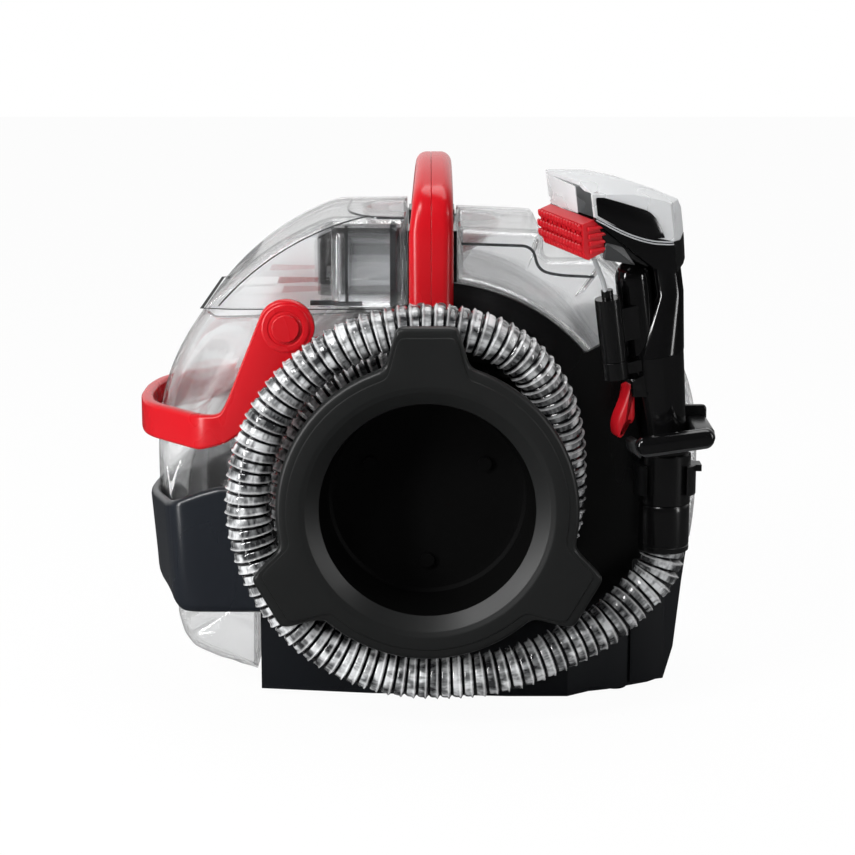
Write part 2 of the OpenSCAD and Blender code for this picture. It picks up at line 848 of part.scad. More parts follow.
// Hook for winding the power cord, its arm pointing down or up
module cord_hook(z, spigot_r, up) {
    rod_y(hook_x, z, 9, panel_far_y + 0.3 * up, panel_far_y + cord_hook_reach - 6);
    block([hook_x - 9, panel_far_y + cord_hook_reach - 6, z - (up > 0 ? 9 : 34)],
        [hook_x + 9, panel_far_y + cord_hook_reach, z + (up > 0 ? 34 : 9)]);
    if (spigot_r > 0) rod_y(hook_x, z, spigot_r, drum_far_y - 6, panel_far_y + 2);
}

module cord_hook_fixed() {
    color([0.12, 0.12, 0.13]) cord_hook(fixed_z, 0, 0);
}

module cord_hook_turning() {
    color([0.12, 0.12, 0.13]) cord_hook(turning_z, 6, 1);
}

module switch_bezel() {
    color([0.10, 0.10, 0.11]) difference() {
        union() {
            block([switch_x - 10.8, drum_far_y - 8, switch_z - 14.8],
                [switch_x + 10.8, panel_far_y + 0.1, switch_z + 14.8]);
            block([switch_x - 13, panel_far_y, switch_z - 17],
                [switch_x + 13, panel_far_y + 2, switch_z + 17]);
        }
        block([switch_x - 8, drum_far_y - 6, switch_z - 12.5],
            [switch_x + 8, panel_far_y + 3, switch_z + 12.5]);
        rod_x(panel_far_y - 3, switch_z, 1.56, switch_x - 9.5, switch_x + 9.5);
    }
}

module power_switch() {
    color([0.55, 0.06, 0.06]) {
        intersection() {
            along_x(switch_x - 7.6, switch_x + 7.6) polygon([
                [panel_far_y - 6, switch_z - 3], [panel_far_y - 0.5, switch_z - 11.5],
                [panel_far_y + 3.5, switch_z - 11.5], [panel_far_y + 1.5, switch_z],
                [panel_far_y + 3.5, switch_z + 11.5], [panel_far_y - 0.5, switch_z + 11.5],
                [panel_far_y - 6, switch_z + 3],
            ]);
            rod_x(panel_far_y - 3, switch_z, 13.2, switch_x - 8, switch_x + 8);
        }
        rod_x(panel_far_y - 3, switch_z, 1.5, switch_x - 9.2, switch_x + 9.2);
    }
}

// Handle -------------------------------------------------------------------

module handle_arch(r, y0, y1, z1) {
    translate([y0 + r, leg_z - 100]) offset(r = r, $fn = 64) square([y1 - y0 - 2 * r, z1 + 100 - leg_z - r]);
}

module handle_half(side) {
    split_x = spine_x - 0.5;
    intersection() {
        along_x(spine_left_x, spine_right_x) intersection() {
            difference() {
                handle_arch(42, handle_out_y, handle_far_y, handle_z);
                handle_arch(30, handle_in_y, panel_far_y, handle_z - 20);
            }
            translate([mid_y, handle_z - 260]) circle(260, $fn = 200);
            translate([-200, leg_z]) square([400, 200]);
        }
        along_y(-200, 300) polygon([
            [split_x - 13.5, leg_z - 1], [split_x + handle_w - 13.5, leg_z - 1],
            [split_x + handle_w - 13.5, top_z - 5], [split_x + handle_top_w - 9.5, handle_z + 1],
            [split_x - 9.5, handle_z + 1], [split_x - 13.5, top_z - 5],
        ]);
        translate([split_x + (side < 0 ? -100 : half_gap / 2), -200, 0])
            cube([100 - (side < 0 ? half_gap / 2 : 0), 500, 500]);
    }
}

module handle_screw_holes(grow) {
    for (x = [-6, 6]) {
        rod_y(spine_x - 0.5 + x, leg_z + 12, 1.9 + grow, handle_out_y - 1, handle_in_y + 2);
        rod_y(spine_x - 0.5 + x, leg_z + 12, 1.9 + grow, panel_far_y - 2, handle_far_y + 1);
    }
}

module handle_left() {
    color([0.72, 0.08, 0.10]) difference() {
        handle_half(-1);
        handle_screw_holes(0.1);
    }
}

module handle_right() {
    color([0.72, 0.08, 0.10]) difference() {
        handle_half(1);
        handle_screw_holes(0.1);
    }
}

module handle_screws() {
    color([0.5, 0.5, 0.52]) for (x = [-6, 6]) {
        rod_y(spine_x - 0.5 + x, leg_z + 12, 1.9, handle_out_y - 0.1, handle_in_y);
        rod_y(spine_x - 0.5 + x, leg_z + 12, 3.4, handle_out_y - 1.6, handle_out_y);
        rod_y(spine_x - 0.5 + x, leg_z + 12, 1.9, panel_far_y, handle_far_y + 0.1);
        rod_y(spine_x - 0.5 + x, leg_z + 12, 3.4, handle_far_y, handle_far_y + 1.6);
    }
}

// Hose rack ----------------------------------------------------------------

// Turns a profile of [radius, distance in front of mid plane] about the rack's centre line
module spun() {
    translate([0, 0, centre_z]) rotate([90, 0, 0]) rotate_extrude($fn = 144) children();
}

module rack_lug(inset) {
    offset(delta = -inset) polygon([
        [flange_r - 8, -lug_w / 2 - 8], [flange_r - 3, -lug_w / 2 - 7], [lug_r, -lug_w / 2],
        [lug_r, lug_w / 2], [flange_r - 3, lug_w / 2 + 7], [flange_r - 8, lug_w / 2 + 8],
    ]);
}

module hose_rack() {
    front = -rack_front_y;
    floor_d = front - dish_depth;
    color([0.05, 0.05, 0.055]) difference() {
        union() {
            spun() polygon([
                [0, floor_d], [rack_drum_r - rack_wall, floor_d],
                [rack_drum_r - rack_wall, front - 8], [mouth_r, front - 1],
                [flange_r - 8, front - 1], [flange_r - 7.5, front], [flange_r - 1.5, front],
                [flange_r, front - 1.5], [flange_r, front - flange_t],
                [rack_drum_r, front - flange_t], [rack_drum_r, -panel_near_y],
                [rack_drum_r - rack_wall, -panel_near_y], [rack_drum_r - rack_wall, floor_d - 3],
                [0, floor_d - 3],
            ]);
            for (a = lug_at) about_centre(a) {
                along_y(rack_front_y + 2.5, rack_back_y) rack_lug(0);
                along_y(rack_front_y, rack_front_y + 2.5) rack_lug(2);
            }
            for (a = lug_at) about_centre(a) along_y(rack_back_y - 0.01, rack_back_y + 30)
                intersection() {
                    difference() {
                        circle(loop_r - hose_r - 1);
                        circle(rack_drum_r - 0.5);
                    }
                    polygon([[0, 0], [120, -25], [120, 25]]);
                }
        }
        for (a = screw_angles) about_centre(a)
            rod_y(40, 0, 2.2, rack_front_y, panel_near_y);
    }
}

module rack_screws() {
    head_y = rack_front_y + dish_depth;
    color([0.45, 0.45, 0.47]) for (a = screw_angles) about_centre(a) {
        rod_y(40, 0, 4.2, head_y - 2.4, head_y);
        rod_y(40, 0, 2, head_y - 0.1, panel_near_y);
    }
}

// Elbow that leads the hose's inner end through the near side panel
module hose_elbow() {
    bend_x = elbow_x - elbow_bend;
    color([0.09, 0.09, 0.10]) {
        difference() {
            rod_x(inner_loop_y, elbow_z, hose_r + 2, hose_end_x - hose_d, bend_x);
            rod_x(inner_loop_y, elbow_z, cuff_bore, hose_end_x - hose_d - 1, hose_end_x);
            rod_x(inner_loop_y, elbow_z, duct_bore, hose_end_x - 1, bend_x + 1);
        }
        translate([bend_x, inner_loop_y + elbow_bend, elbow_z]) rotate([0, 0, -90])
            rotate_extrude(angle = 90) translate([elbow_bend, 0]) difference() {
                circle(hose_r + 0.5);
                circle(duct_bore);
            }
        difference() {
            rod_y(elbow_x, elbow_z, duct_r, panel_near_y, drum_near_y + drum_wall + 3);
            rod_y(elbow_x, elbow_z, duct_bore, panel_near_y - 1, drum_near_y + drum_wall + 4);
        }
    }
}

// Hose ---------------------------------------------------------------------

// Route from the cuff under the wand down to the rack, then round it
lead_in = [
    [stem_x, stem_y, cuff_z], [stem_x, stem_y, cuff_z - 14], [stem_x, stem_y, cuff_z - 28],
    [stem_x - 1, stem_y - 0.5, 98], [139, -85, 87], [128, -88, 76], [109, -95, 60],
    [81, -103, 46.5], [58, -108, 38], [38, -110.5, 33.5], [20, -111, 31.8],
];
function ease(t) = t * t * (3 - 2 * t);
function loop_point(a) =
    let (t = ease(max(0, min(1, (a - 195) / 75))),
         r = loop_r + (inner_loop_r - loop_r) * t,
         y = loop_y + (inner_loop_y - loop_y) * t)
    [r * cos(270 - a), y, centre_z + r * sin(270 - a)];
turns = [for (a = [0:9:540]) loop_point(a)];
lead_out = [for (i = [1:4]) [hose_end_x * i / 4, inner_loop_y, centre_z + inner_loop_r]];
route = concat(lead_in, turns, lead_out);

// Smooth curve through the route's points
function curve_at(i, t) =
    let (a = route[max(0, i - 1)], b = route[i], c = route[i + 1],
         d = route[min(len(route) - 1, i + 2)])
    (2 * b + (c - a) * t + (2 * a - 5 * b + 4 * c - d) * t * t
     + (3 * b - a - 3 * c + d) * t * t * t) / 2;
fine = [for (i = [0:len(route) - 2], t = [0:0.25:0.75]) curve_at(i, t), route[len(route) - 1]];
function lengths(p, i = 1, sum = [0]) =
    i == len(p) ? sum : lengths(p, i + 1, concat(sum, [sum[i - 1] + norm(p[i] - p[i - 1])]));
along = lengths(fine);
hose_length = along[len(along) - 1];
ribs = floor(hose_length / rib_pitch);
ring_step = hose_length / (2 * ribs);
function find(s, lo, hi) =
    hi - lo <= 1 ? lo : let (m = floor((lo + hi) / 2)) along[m] <= s ? find(s, m, hi) : find(s, lo, m);
function point_at(s) =
    let (i = min(find(s, 0, len(fine) - 1), len(fine) - 2),
         t = (s - along[i]) / (along[i + 1] - along[i]))
    fine[i] + (fine[i + 1] - fine[i]) * t;
centres = [for (k = [0:2 * ribs]) point_at(k * ring_step)];
function unit(v) = v / norm(v);
function tangent(k) = unit(centres[min(k + 1, 2 * ribs)] - centres[max(k - 1, 0)]);

// Directions across the hose, carried along it without twist
function across(k, list) =
    k > 2 * ribs ? list :
    let (t = tangent(k), u = list[k - 1], v = unit(u - (u * t) * t))
    across(k + 1, concat(list, [v]));
first_across = [unit(cross(tangent(0), [1, 0, 0]))];
sides = across(1, first_across);
ring_sides = 8;
function ring(k, r) =
    let (u = sides[k], w = cross(tangent(k), u))
    [for (j = [0:ring_sides - 1]) let (a = 360 * j / ring_sides)
        centres[k] + r * (cos(a) * u + sin(a) * w)];

module hose() {
    outer = [for (k = [0:2 * ribs]) each ring(k, k % 2 == 0 ? hose_r - rib_h : hose_r)];
    inner = [for (k = [0:2:2 * ribs]) each ring(k, hose_bore / 2)];
    n = ring_sides;
    base = len(outer);
    last = 2 * ribs;
    outer_faces = [for (k = [0:last - 1], j = [0:n - 1])
        let (a = k * n + j, b = k * n + (j + 1) % n) each [[a, b, b + n], [a, b + n, a + n]]];
    inner_faces = [for (k = [0:ribs - 1], j = [0:n - 1])
        let (a = base + k * n + j, b = base + k * n + (j + 1) % n)
        each [[a, b + n, b], [a, a + n, b + n]]];
    start_faces = [for (j = [0:n - 1]) let (a = j, b = (j + 1) % n, c = base + j, d = base + b)
        each [[a, d, b], [a, c, d]]];
    end_faces = [for (j = [0:n - 1])
        let (a = last * n + j, b = last * n + (j + 1) % n,
             c = base + ribs * n + j, d = base + ribs * n + (j + 1) % n)
        each [[a, b, d], [a, d, c]]];
    color([0.62, 0.64, 0.66])
        polyhedron(concat(outer, inner), concat(outer_faces, inner_faces, start_faces, end_faces));
}

// Least gap of the hose to itself, between stretches more than three diameters apart
function gap_from(k) = min([for (m = [k + ceil(3 * hose_d / ring_step):4:2 * ribs])
    norm(centres[k] - centres[m])]);
self_gap = min([for (k = [0:4:2 * ribs - ceil(3 * hose_d / ring_step) - 4]) gap_from(k)]) - hose_d;
echo(hose_length = hose_length, ribs = ribs, self_gap = self_gap);

// Ducts --------------------------------------------------------------------

module duct_run(points, r) {
    for (i = [0:len(points) - 2]) {
        step = points[i + 1] - points[i];
        translate(points[i])
            rotate([0, acos(step[2] / norm(step)), atan2(step[1], step[0])])
                cylinder(r = r, h = norm(step));
    }
    for (i = [1:len(points) - 2]) translate(points[i]) sphere(r * 1.04);
}

module duct(points, start_cut, end_cut) {
    difference() {
        duct_run(points, duct_r);
        duct_run(concat([points[0] - start_cut], points, [points[len(points) - 1] + end_cut]),
            duct_bore);
    }
}

module inlet_duct() {
    color([0.14, 0.14, 0.15]) duct([
        [elbow_x, drum_near_y + drum_wall + 3, elbow_z], [elbow_x, near_port_y, elbow_z],
        [spine_x, near_port_y, elbow_z], [spine_x, near_port_y, port_z],
        [spine_left_x, near_port_y, port_z],
    ], [0, 1, 0], [-1, 0, 0]);
}

module suction_duct() {
    color([0.14, 0.14, 0.15]) duct([
        [spine_left_x, far_port_y, port_z], [spine_x, far_port_y, port_z],
        [spine_x, far_port_y, centre_z], [spine_x, fan_back_y, centre_z],
    ], [1, 0, 0], [0, -1, 0]);
}

// Machinery ----------------------------------------------------------------

module fan_housing() {
    color([0.30, 0.31, 0.33]) difference() {
        union() {
            rod_y(spine_x, centre_z, fan_r, fan_front_y, fan_back_y);
            block([spine_x - 40, fan_front_y, base_top_z], [spine_x + 40, fan_back_y, 90]);
        }
        rod_y(spine_x, centre_z, fan_r - 2.5, fan_front_y + 2.5, fan_back_y - 2.5);
        rod_y(spine_x, centre_z, duct_bore, fan_back_y - 5, fan_back_y + 1);
        rod_y(spine_x, centre_z, shaft_r + 8, fan_front_y - 1, fan_front_y + 4);
        block([spine_x + fan_r - 12, fan_front_y + 7, centre_z - 14],
            [spine_x + fan_r + 10, fan_back_y - 7, centre_z + 14]);
        block([spine_x - 34, fan_front_y - 1, base_top_z - 1], [spine_x + 34, fan_back_y + 1, 70]);
    }
}

module impeller() {
    r = fan_r - 6;
    y0 = fan_front_y + 6;
    y1 = fan_back_y - 6;
    color([0.80, 0.80, 0.78]) difference() {
        union() {
            rod_y(spine_x, centre_z, r, y0, y0 + 2);
            rod_y(spine_x, centre_z, shaft_r + 6, y0, y1);
            difference() {
                rod_y(spine_x, centre_z, r, y1 - 2, y1);
                rod_y(spine_x, centre_z, 20, y1 - 3, y1 + 1);
            }
            for (i = [0:blades - 1]) translate([spine_x, 0, centre_z])
                rotate([0, i * 360 / blades, 0]) translate([shaft_r + 4, y0 + 1, -1])
                    rotate([0, 12, 0]) cube([r - shaft_r - 6, y1 - y0 - 2, 2]);
        }
        rod_y(spine_x, centre_z, shaft_r, y0 - 1, y1 + 1);
    }
}

module motor() {
    color([0.42, 0.43, 0.45]) difference() {
        rod_y(spine_x, centre_z, motor_r, motor_front_y, motor_back_y);
        rod_y(spine_x, centre_z, motor_r - 8, motor_front_y + 8, motor_back_y - 8);
        rod_y(spine_x, centre_z, bearing_r, motor_front_y - 1, motor_back_y + 1);
    }
}

module motor_shaft() {
    color([0.70, 0.71, 0.73]) {
        rod_y(spine_x, centre_z, shaft_r, motor_front_y + 2, fan_back_y - 5);
        rod_y(spine_x, centre_z, motor_r - 14, motor_front_y + 14, motor_back_y - 14);
    }
}

module bearings() {
    color([0.78, 0.79, 0.80]) for (y = [motor_front_y, motor_back_y - 8]) difference() {
        rod_y(spine_x, centre_z, bearing_r, y, y + 8);
        rod_y(spine_x, centre_z, shaft_r + shaft_play, y - 1, y + 9);
    }
}

module motor_mount() {
    color([0.20, 0.20, 0.21]) for (y = [motor_front_y + 6, motor_back_y - 12]) difference() {
        block([spine_x - motor_r - 6, y, base_top_z], [spine_x + motor_r + 6, y + 6, centre_z]);
        rod_y(spine_x, centre_z, motor_r, y - 1, y + 7);
    }
}

module pump() {
    color([0.26, 0.27, 0.29]) {
        block([pump_x - 18, mid_y - 32, base_z], [pump_x + 18, mid_y + 8, base_z + 6]);
        rod_y(pump_x, base_z + 22, 17, mid_y - 30, mid_y + 6);
        rod_y(pump_x, base_z + 22, 12, mid_y + 5, mid_y + 22);
        rod_z(pump_x, pump_y, 5, base_z + 36, base_z + 42);
    }
}

// Water lines: valve socket to pump, and pump to the hose's end
module water_lines() {
    low = base_z + 22;
    high = base_top_z + 4;
    color([0.75, 0.77, 0.80]) {
        rod_z(cap_x, mid_y, 3, low, socket_low_z);
        bend(cap_x, mid_y, low);
        rod_y(cap_x, low, 3, pump_y, mid_y);
        bend(cap_x, pump_y, low);
        rod_x(pump_y, low, 3, pump_x + 17, cap_x);
        rod_z(pump_x, pump_y, 3, base_z + 42, high);
        bend(pump_x, pump_y, high);
        rod_y(pump_x, high, 3, line_y, pump_y);
        bend(pump_x, line_y, high);
        rod_x(line_y, high, 3, pump_x, line_x);
        bend(line_x, line_y, high);
        rod_z(line_x, line_y, 3, high, elbow_z);
        bend(line_x, line_y, elbow_z);
        rod_x(line_y, elbow_z, 3, elbow_x + duct_r + 0.2, line_x);
    }
}

module bend(x, y, z) {
    translate([x, y, z]) cube(8, center = true);
}

module valve_socket() {
    color([0.14, 0.14, 0.15]) difference() {
        union() {
            rod_z(cap_x, mid_y, socket_r, socket_low_z + 5, shelf_z - 0.5);
            rod_z(cap_x, mid_y, socket_r + 3, shelf_z - base_wall - 3, shelf_z - base_wall);
            rod_z(cap_x, mid_y, 4, socket_low_z, socket_low_z + 6);
        }
        rod_z(cap_x, mid_y, cap_r + cap_play, socket_low_z + 8, shelf_z);
        rod_z(cap_x, mid_y, 2, socket_low_z - 1, socket_low_z + 9);
    }
}

// Hook and rest for the tool ------------------------------------------------

module tool_hook() {
    bar_y = hook_y - hook_t / 2;
    color([0.04, 0.04, 0.045]) {
        difference() {
            intersection() {
                block([hook_right_x - hook_l, bar_y, 160], [hook_right_x, bar_y + hook_t, 200]);
                along_y(bar_y - 1, bar_y + hook_t + 1) polygon([
                    [hook_right_x - hook_l, hook_z - 8.5], [hook_right_x - hook_l + 2, hook_z - 10],
                    [hook_right_x - 2, hook_z - 4], [hook_right_x, hook_z - 2],
                    [hook_right_x, hook_z + 8], [hook_right_x - 2, hook_z + 9],
                    [hook_right_x - hook_l + 2, hook_z + 3.5], [hook_right_x - hook_l, hook_z + 2],
                ]);
            }
        }
        block([hook_right_x - 10, bar_y + hook_t - 1, hook_z - 1],
            [hook_right_x, panel_near_y, hook_z + 8]);
        block([hook_right_x - 20, panel_near_y - 4, hook_z - 10],
            [hook_right_x, panel_near_y, hook_z + 14]);
    }
}

module wand_rest() {
    color([0.10, 0.10, 0.11]) difference() {
        union() {
            rod_z(stem_x, stem_y, stem_r + 3.2, cuff_z + 6, cuff_z + 24);
            block([stem_x - 13, stem_y + 8, cuff_z + 6], [stem_x + 13, panel_near_y, cuff_z + 24]);
            block([stem_x + 8, stem_y - 6, cuff_z + 20], [stem_x + stem_r + 6, stem_y + 6, cuff_z + 24]);
        }
        rod_z(stem_x, stem_y, stem_r + 0.05, cuff_z, cuff_z + 30);
        block([stem_x - 12, stem_y - 30, cuff_z], [stem_x + 12, stem_y - 5, cuff_z + 30]);
    }
}

// Wand ---------------------------------------------------------------------

// The grip's own frame: Z along the grip, the tool's mouth towards -X
module in_wand() {
    translate([stem_x - 1.2, stem_y, grip_z]) rotate([wand_lean_y, 0, 0])
        rotate([0, -wand_lean_x, 0]) rotate([0, 0, wand_yaw]) children();
}

module hose_cuff() {
    color([0.10, 0.10, 0.11]) difference() {
        union() {
            rod_z(stem_x, stem_y, stem_r - 0.3, cuff_end_z, cuff_z);
            rod_z(stem_x, stem_y, stem_r, cuff_end_z + 5, cuff_z - 2);
        }
        rod_z(stem_x, stem_y, cuff_bore, cuff_end_z - 1, cuff_z + 1);
    }
}

module wand_stem() {
    color([0.12, 0.12, 0.13]) difference() {
        union() {
            rod_z(stem_x, stem_y, stem_r, cuff_z, stem_top_z - 6);
            in_wand() translate([0, 0, -3]) sphere(knuckle_r);
        }
        rod_z(stem_x, stem_y, air_r, cuff_z - 1, grip_z - 4);
        in_wand() translate([0, 0, -6]) cylinder(r = air_r, h = 40);
    }
}

module grip_form() {
    difference() {
        union() {
            cylinder(r1 = grip_low_r - 0.4, r2 = grip_top_r, h = grip_top);
            for (side = [-1, 1]) translate([0, side * (trigger_w / 2 + 2.3), 0])
                along_y(-1.4, 1.4) polygon([
                    [-8, 32], [trigger_pivot[0] - 4, 35], [trigger_pivot[0] - 4, 45], [-8, 48],
                ]);
        }
        translate([0, 0, -3]) sphere(knuckle_r + 0.05);
        translate([0, 0, -20]) cylinder(r = air_r, h = 100);
        block([-40, -trigger_w / 2 - 0.6, 5], [-air_r - 1, trigger_w / 2 + 0.6, 48]);
        along_y(-20, 20) translate(trigger_pivot) circle(2);
    }
}

module grip_front() {
    color([0.10, 0.10, 0.11]) in_wand() intersection() {
        grip_form();
        block([-60, -60, -10], [-3, 60, 80]);
    }
}

module grip_back() {
    color([0.06, 0.06, 0.065]) in_wand() intersection() {
        grip_form();
        block([-3, -60, -10], [60, 60, 80]);
    }
}

module trigger_pin() {
    color([0.7, 0.7, 0.72]) in_wand()
        along_y(-trigger_w / 2 - 3.6, trigger_w / 2 + 3.6) translate(trigger_pivot) circle(2);
}

module trigger() {
    color([0.62, 0.05, 0.06]) in_wand() along_y(-trigger_w / 2, trigger_w / 2) difference() {
        polygon([
            [-13, 43], [-18, 44.5], [-23, 43.5], [-31.9, 33], [-36.4, 20.6], [-34, 10],
            [-30, 7], [-24, 12], [-19.5, 18], [-17, 28], [-13, 36],
        ]);
        translate(trigger_pivot) circle(2.06);
    }
}

module spray_valve() {
    color([0.12, 0.12, 0.13]) in_wand() difference() {
        union() {
            translate([barrel_u, barrel_v, 49]) cylinder(r = barrel_r, h = 10.5);
            block([barrel_u, barrel_v - 3, 50], [-9, barrel_v + 5, 57]);
        }
        translate([0, 0, -20]) cylinder(r = grip_top_r + 0.2, h = 100);
    }
}

// Cross section of the tool's air way at one height: half width, front, back, height
module neck_slab(half_v, u0, u1, w, r) {
    translate([0, 0, w]) linear_extrude(0.1) offset(r = r, $fn = 32)
        translate([u0 + r, -half_v + r]) square([u1 - u0 - 2 * r, 2 * half_v - 2 * r]);
}

module neck_form(inset) {
    hull() {
        neck_slab(grip_top_r - inset, -grip_top_r + inset, grip_top_r - inset, grip_top + 0.3 + inset,
            grip_top_r - inset - 1);
        neck_slab(13 - inset, 2 + inset, 20 - inset, 92, 8 - inset);
    }
    hull() {
        neck_slab(13 - inset, 2 + inset, 20 - inset, 92 - inset / 10, 8 - inset);
        neck_slab(14 - inset, 1 + inset, 19 - inset, 112 + inset, 8 - inset);
    }
}

module tool_neck() {
    color([0.09, 0.09, 0.10]) in_wand() difference() {
        union() {
            neck_form(0);
            translate([-9, 0, grip_top + 2]) cylinder(r = 10.5, h = 46);
            translate([-9, 0, grip_top + 48]) sphere(10.4);
            translate([0, 0, grip_top - 10]) cylinder(r = air_r - 0.1, h = 12);
        }
        neck_form(2.5);
        translate([0, 0, grip_top - 30]) cylinder(r = air_r - 2.5, h = 40);
    }
}

module head_side(inset, rise) {
    polygon([
        [-43 - inset, 152 + inset], [-33.8, 144.5 + inset], [-18.9, 129 + inset],
        [-9.5, 117.6 + inset], [2 + inset, 112.4 - inset], [21 - inset, 112.4 - inset],
        [22.8 - inset, 126], [27 - inset, 136 + rise / 2], [17 - inset, 147 + rise - inset],
        [1, 156.5 + rise - inset], [-18, 164 + rise - inset], [-43 - inset, 169 + rise - inset],
    ]);
}

module head_form(inset) {
    side_v = nozzle_w / 2 - inset;
    intersection() {
        hull() {
            translate([0, 0, -1.6]) along_y(-side_v, -side_v + 0.1) head_side(inset, -1);
            translate([0, 0, 1.2]) along_y(-side_v / 2, side_v / 2) head_side(inset, 1.5);
            translate([0, 0, 4]) along_y(side_v - 0.1, side_v) head_side(inset, -1);
        }
        translate([0, 0, 100]) linear_extrude(90) polygon([
            [-60, -side_v], [5 - inset, -side_v], [15 - inset, -side_v + 12], [24 - inset, -6],
            [24 - inset, 6], [15 - inset, side_v - 12], [5 - inset, side_v], [-60, side_v],
        ]);
    }
}

module head_split() {
    along_y(-60, 60) polygon([
        [-70, 160], [-42.5, 152.6], [-29.2, 144.5], [-16.4, 137.6], [2, 130], [13, 126.5],
        [60, 126.5], [60, 220], [-70, 220],
    ]);
}

module tool_head() {
    color([0.08, 0.08, 0.09]) in_wand() difference() {
        head_form(0);
        head_form(2.2);
        head_split();
        block([4, -10, 108], [16, 10, 120]);
    }
}

module tool_window() {
    color([0.85, 0.88, 0.90, 0.35]) in_wand() difference() {
        intersection() {
            head_form(0);
            translate([0, 0, 0.2]) head_split();
        }
        head_form(2.2);
        block([-60, -nozzle_w / 2 + 2.2, 150], [-38, nozzle_w / 2 - 2.2, 150 + 2.4 * slot_h]);
    }
}

module spray_barrel() {
    color([0.12, 0.12, 0.13]) in_wand() difference() {
        union() {
            translate([barrel_u, barrel_v, 60]) cylinder(r = barrel_r, h = 38);
            translate([barrel_u, barrel_v, 97]) cylinder(r = 3.5, h = 6);
            block([barrel_u, barrel_v - 2, 70], [-12, barrel_v + 4, 90]);
        }
        translate([-9, 0, grip_top]) cylinder(r = 10.55, h = 60);
        neck_form(0);
    }
}

module spray_line() {
    color([0.3, 0.3, 0.32]) in_wand() {
        duct_run([[barrel_u, barrel_v, 103.1], [barrel_u, barrel_v, 110],
            [-33, barrel_v, 122], [-44, barrel_v, 126]], 2.2);
        translate([-44, barrel_v, 126]) rotate([0, -90, 0]) cylinder(r1 = 3.2, r2 = 4.5, h = 6);
    }
}

module brush_bracket() {
    color([0.35, 0.36, 0.38]) in_wand() difference() {
        along_y(-nozzle_w / 2 + 2, nozzle_w / 2 - 2) polygon([
            [-40, 147.5], [-37, 130], [-34, 130], [-28, 128], [-13.5, 117.5], [-9.8, 117.5],
            [-19, 127], [-34, 142.4],
        ]);
        along_y(barrel_v - 6, barrel_v + 6) polygon([[-50, 110], [-26, 110], [-26, 131], [-50, 131]]);
        head_form(-0.1);
    }
}

module brush() {
    color([0.60, 0.05, 0.07]) in_wand() difference() {
        union() {
            along_y(-30, 30) polygon([
                [-50, 150], [-51.5, 134], [-49, 129], [-41, 131], [-37.4, 131.4], [-40.2, 147.5],
                [-43.2, 151.4],
            ]);
        }
        for (v = [-26:6.5:26]) along_y(v - 1, v + 1) polygon([
            [-60, 145], [-60, 120], [-45, 120], [-45, 145],
        ]);
        along_y(barrel_v - 6.5, barrel_v + 6.5) polygon([[-60, 110], [-36, 110], [-36, 131.4], [-60, 131.4]]);
    }
}

base_shell();
base_plate();
feet();
base_screws();
tank_belt();
drum_housing();
near_panel();
far_panel();
exhaust_grille();
cord_gland();
cord_hook_fixed();
cord_hook_turning();
switch_bezel();
power_switch();
handle_left();
handle_right();
handle_screws();
hose_rack();
rack_screws();
hose_elbow();
hose();
inlet_duct();
suction_duct();
fan_housing();
impeller();
motor();
motor_shaft();
bearings();
motor_mount();
pump();
water_lines();
valve_socket();
tool_hook();
wand_rest();
hose_cuff();
wand_stem();
grip_front();
grip_back();
trigger_pin();
trigger();
spray_valve();
tool_neck();
tool_head();
tool_window();
spray_barrel();
spray_line();
brush_bracket();
brush();
dirty_tank();
tank_lid();
lid_seal();
float_cage();
float_ball();
bail();
bail_pins();
clean_tank();
tank_cap();
valve_plunger();
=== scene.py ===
# %% [markdown]
# # A spot extractor, dressed round its CAD frame
# The machine comes in as a set of CAD nodes that already have their places, joints and sizes.
# This lesson adds what the eye needs: rounded edges, clear plastic, a ribbed hose and finishes.
# All lengths in the code are millimetres, and are turned into metres when a mesh is made.

# %% Frame
import bmesh
import bpy
import json
import numpy as np
from math import radians
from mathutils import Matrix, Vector

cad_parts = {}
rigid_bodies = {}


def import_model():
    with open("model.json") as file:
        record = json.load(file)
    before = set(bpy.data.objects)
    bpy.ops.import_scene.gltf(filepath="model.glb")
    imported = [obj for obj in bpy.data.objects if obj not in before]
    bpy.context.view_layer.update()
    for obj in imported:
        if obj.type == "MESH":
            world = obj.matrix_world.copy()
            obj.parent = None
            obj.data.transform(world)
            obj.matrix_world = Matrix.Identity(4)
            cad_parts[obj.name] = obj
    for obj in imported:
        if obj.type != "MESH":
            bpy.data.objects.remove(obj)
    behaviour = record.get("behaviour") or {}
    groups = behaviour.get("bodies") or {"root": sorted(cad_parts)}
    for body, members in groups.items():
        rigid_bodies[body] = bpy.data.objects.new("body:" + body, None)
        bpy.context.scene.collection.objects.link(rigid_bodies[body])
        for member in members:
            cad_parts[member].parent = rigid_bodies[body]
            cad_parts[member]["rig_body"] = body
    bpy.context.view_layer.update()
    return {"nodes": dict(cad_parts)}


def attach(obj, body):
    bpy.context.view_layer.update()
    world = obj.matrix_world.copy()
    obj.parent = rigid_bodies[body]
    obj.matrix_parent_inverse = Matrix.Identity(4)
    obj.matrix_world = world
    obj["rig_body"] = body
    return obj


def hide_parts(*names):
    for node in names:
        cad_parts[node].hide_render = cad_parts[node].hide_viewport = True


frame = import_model()
NODES = frame["nodes"]
MM = 0.001

# %% [markdown]
# ## Camera
# A product is pictured with a long lens from a little above. A camera could be aimed with a
# tracking constraint, but plain numbers are easier to check: it stands 1.39 m in front of the
# machine's middle and looks 11.5 degrees down.

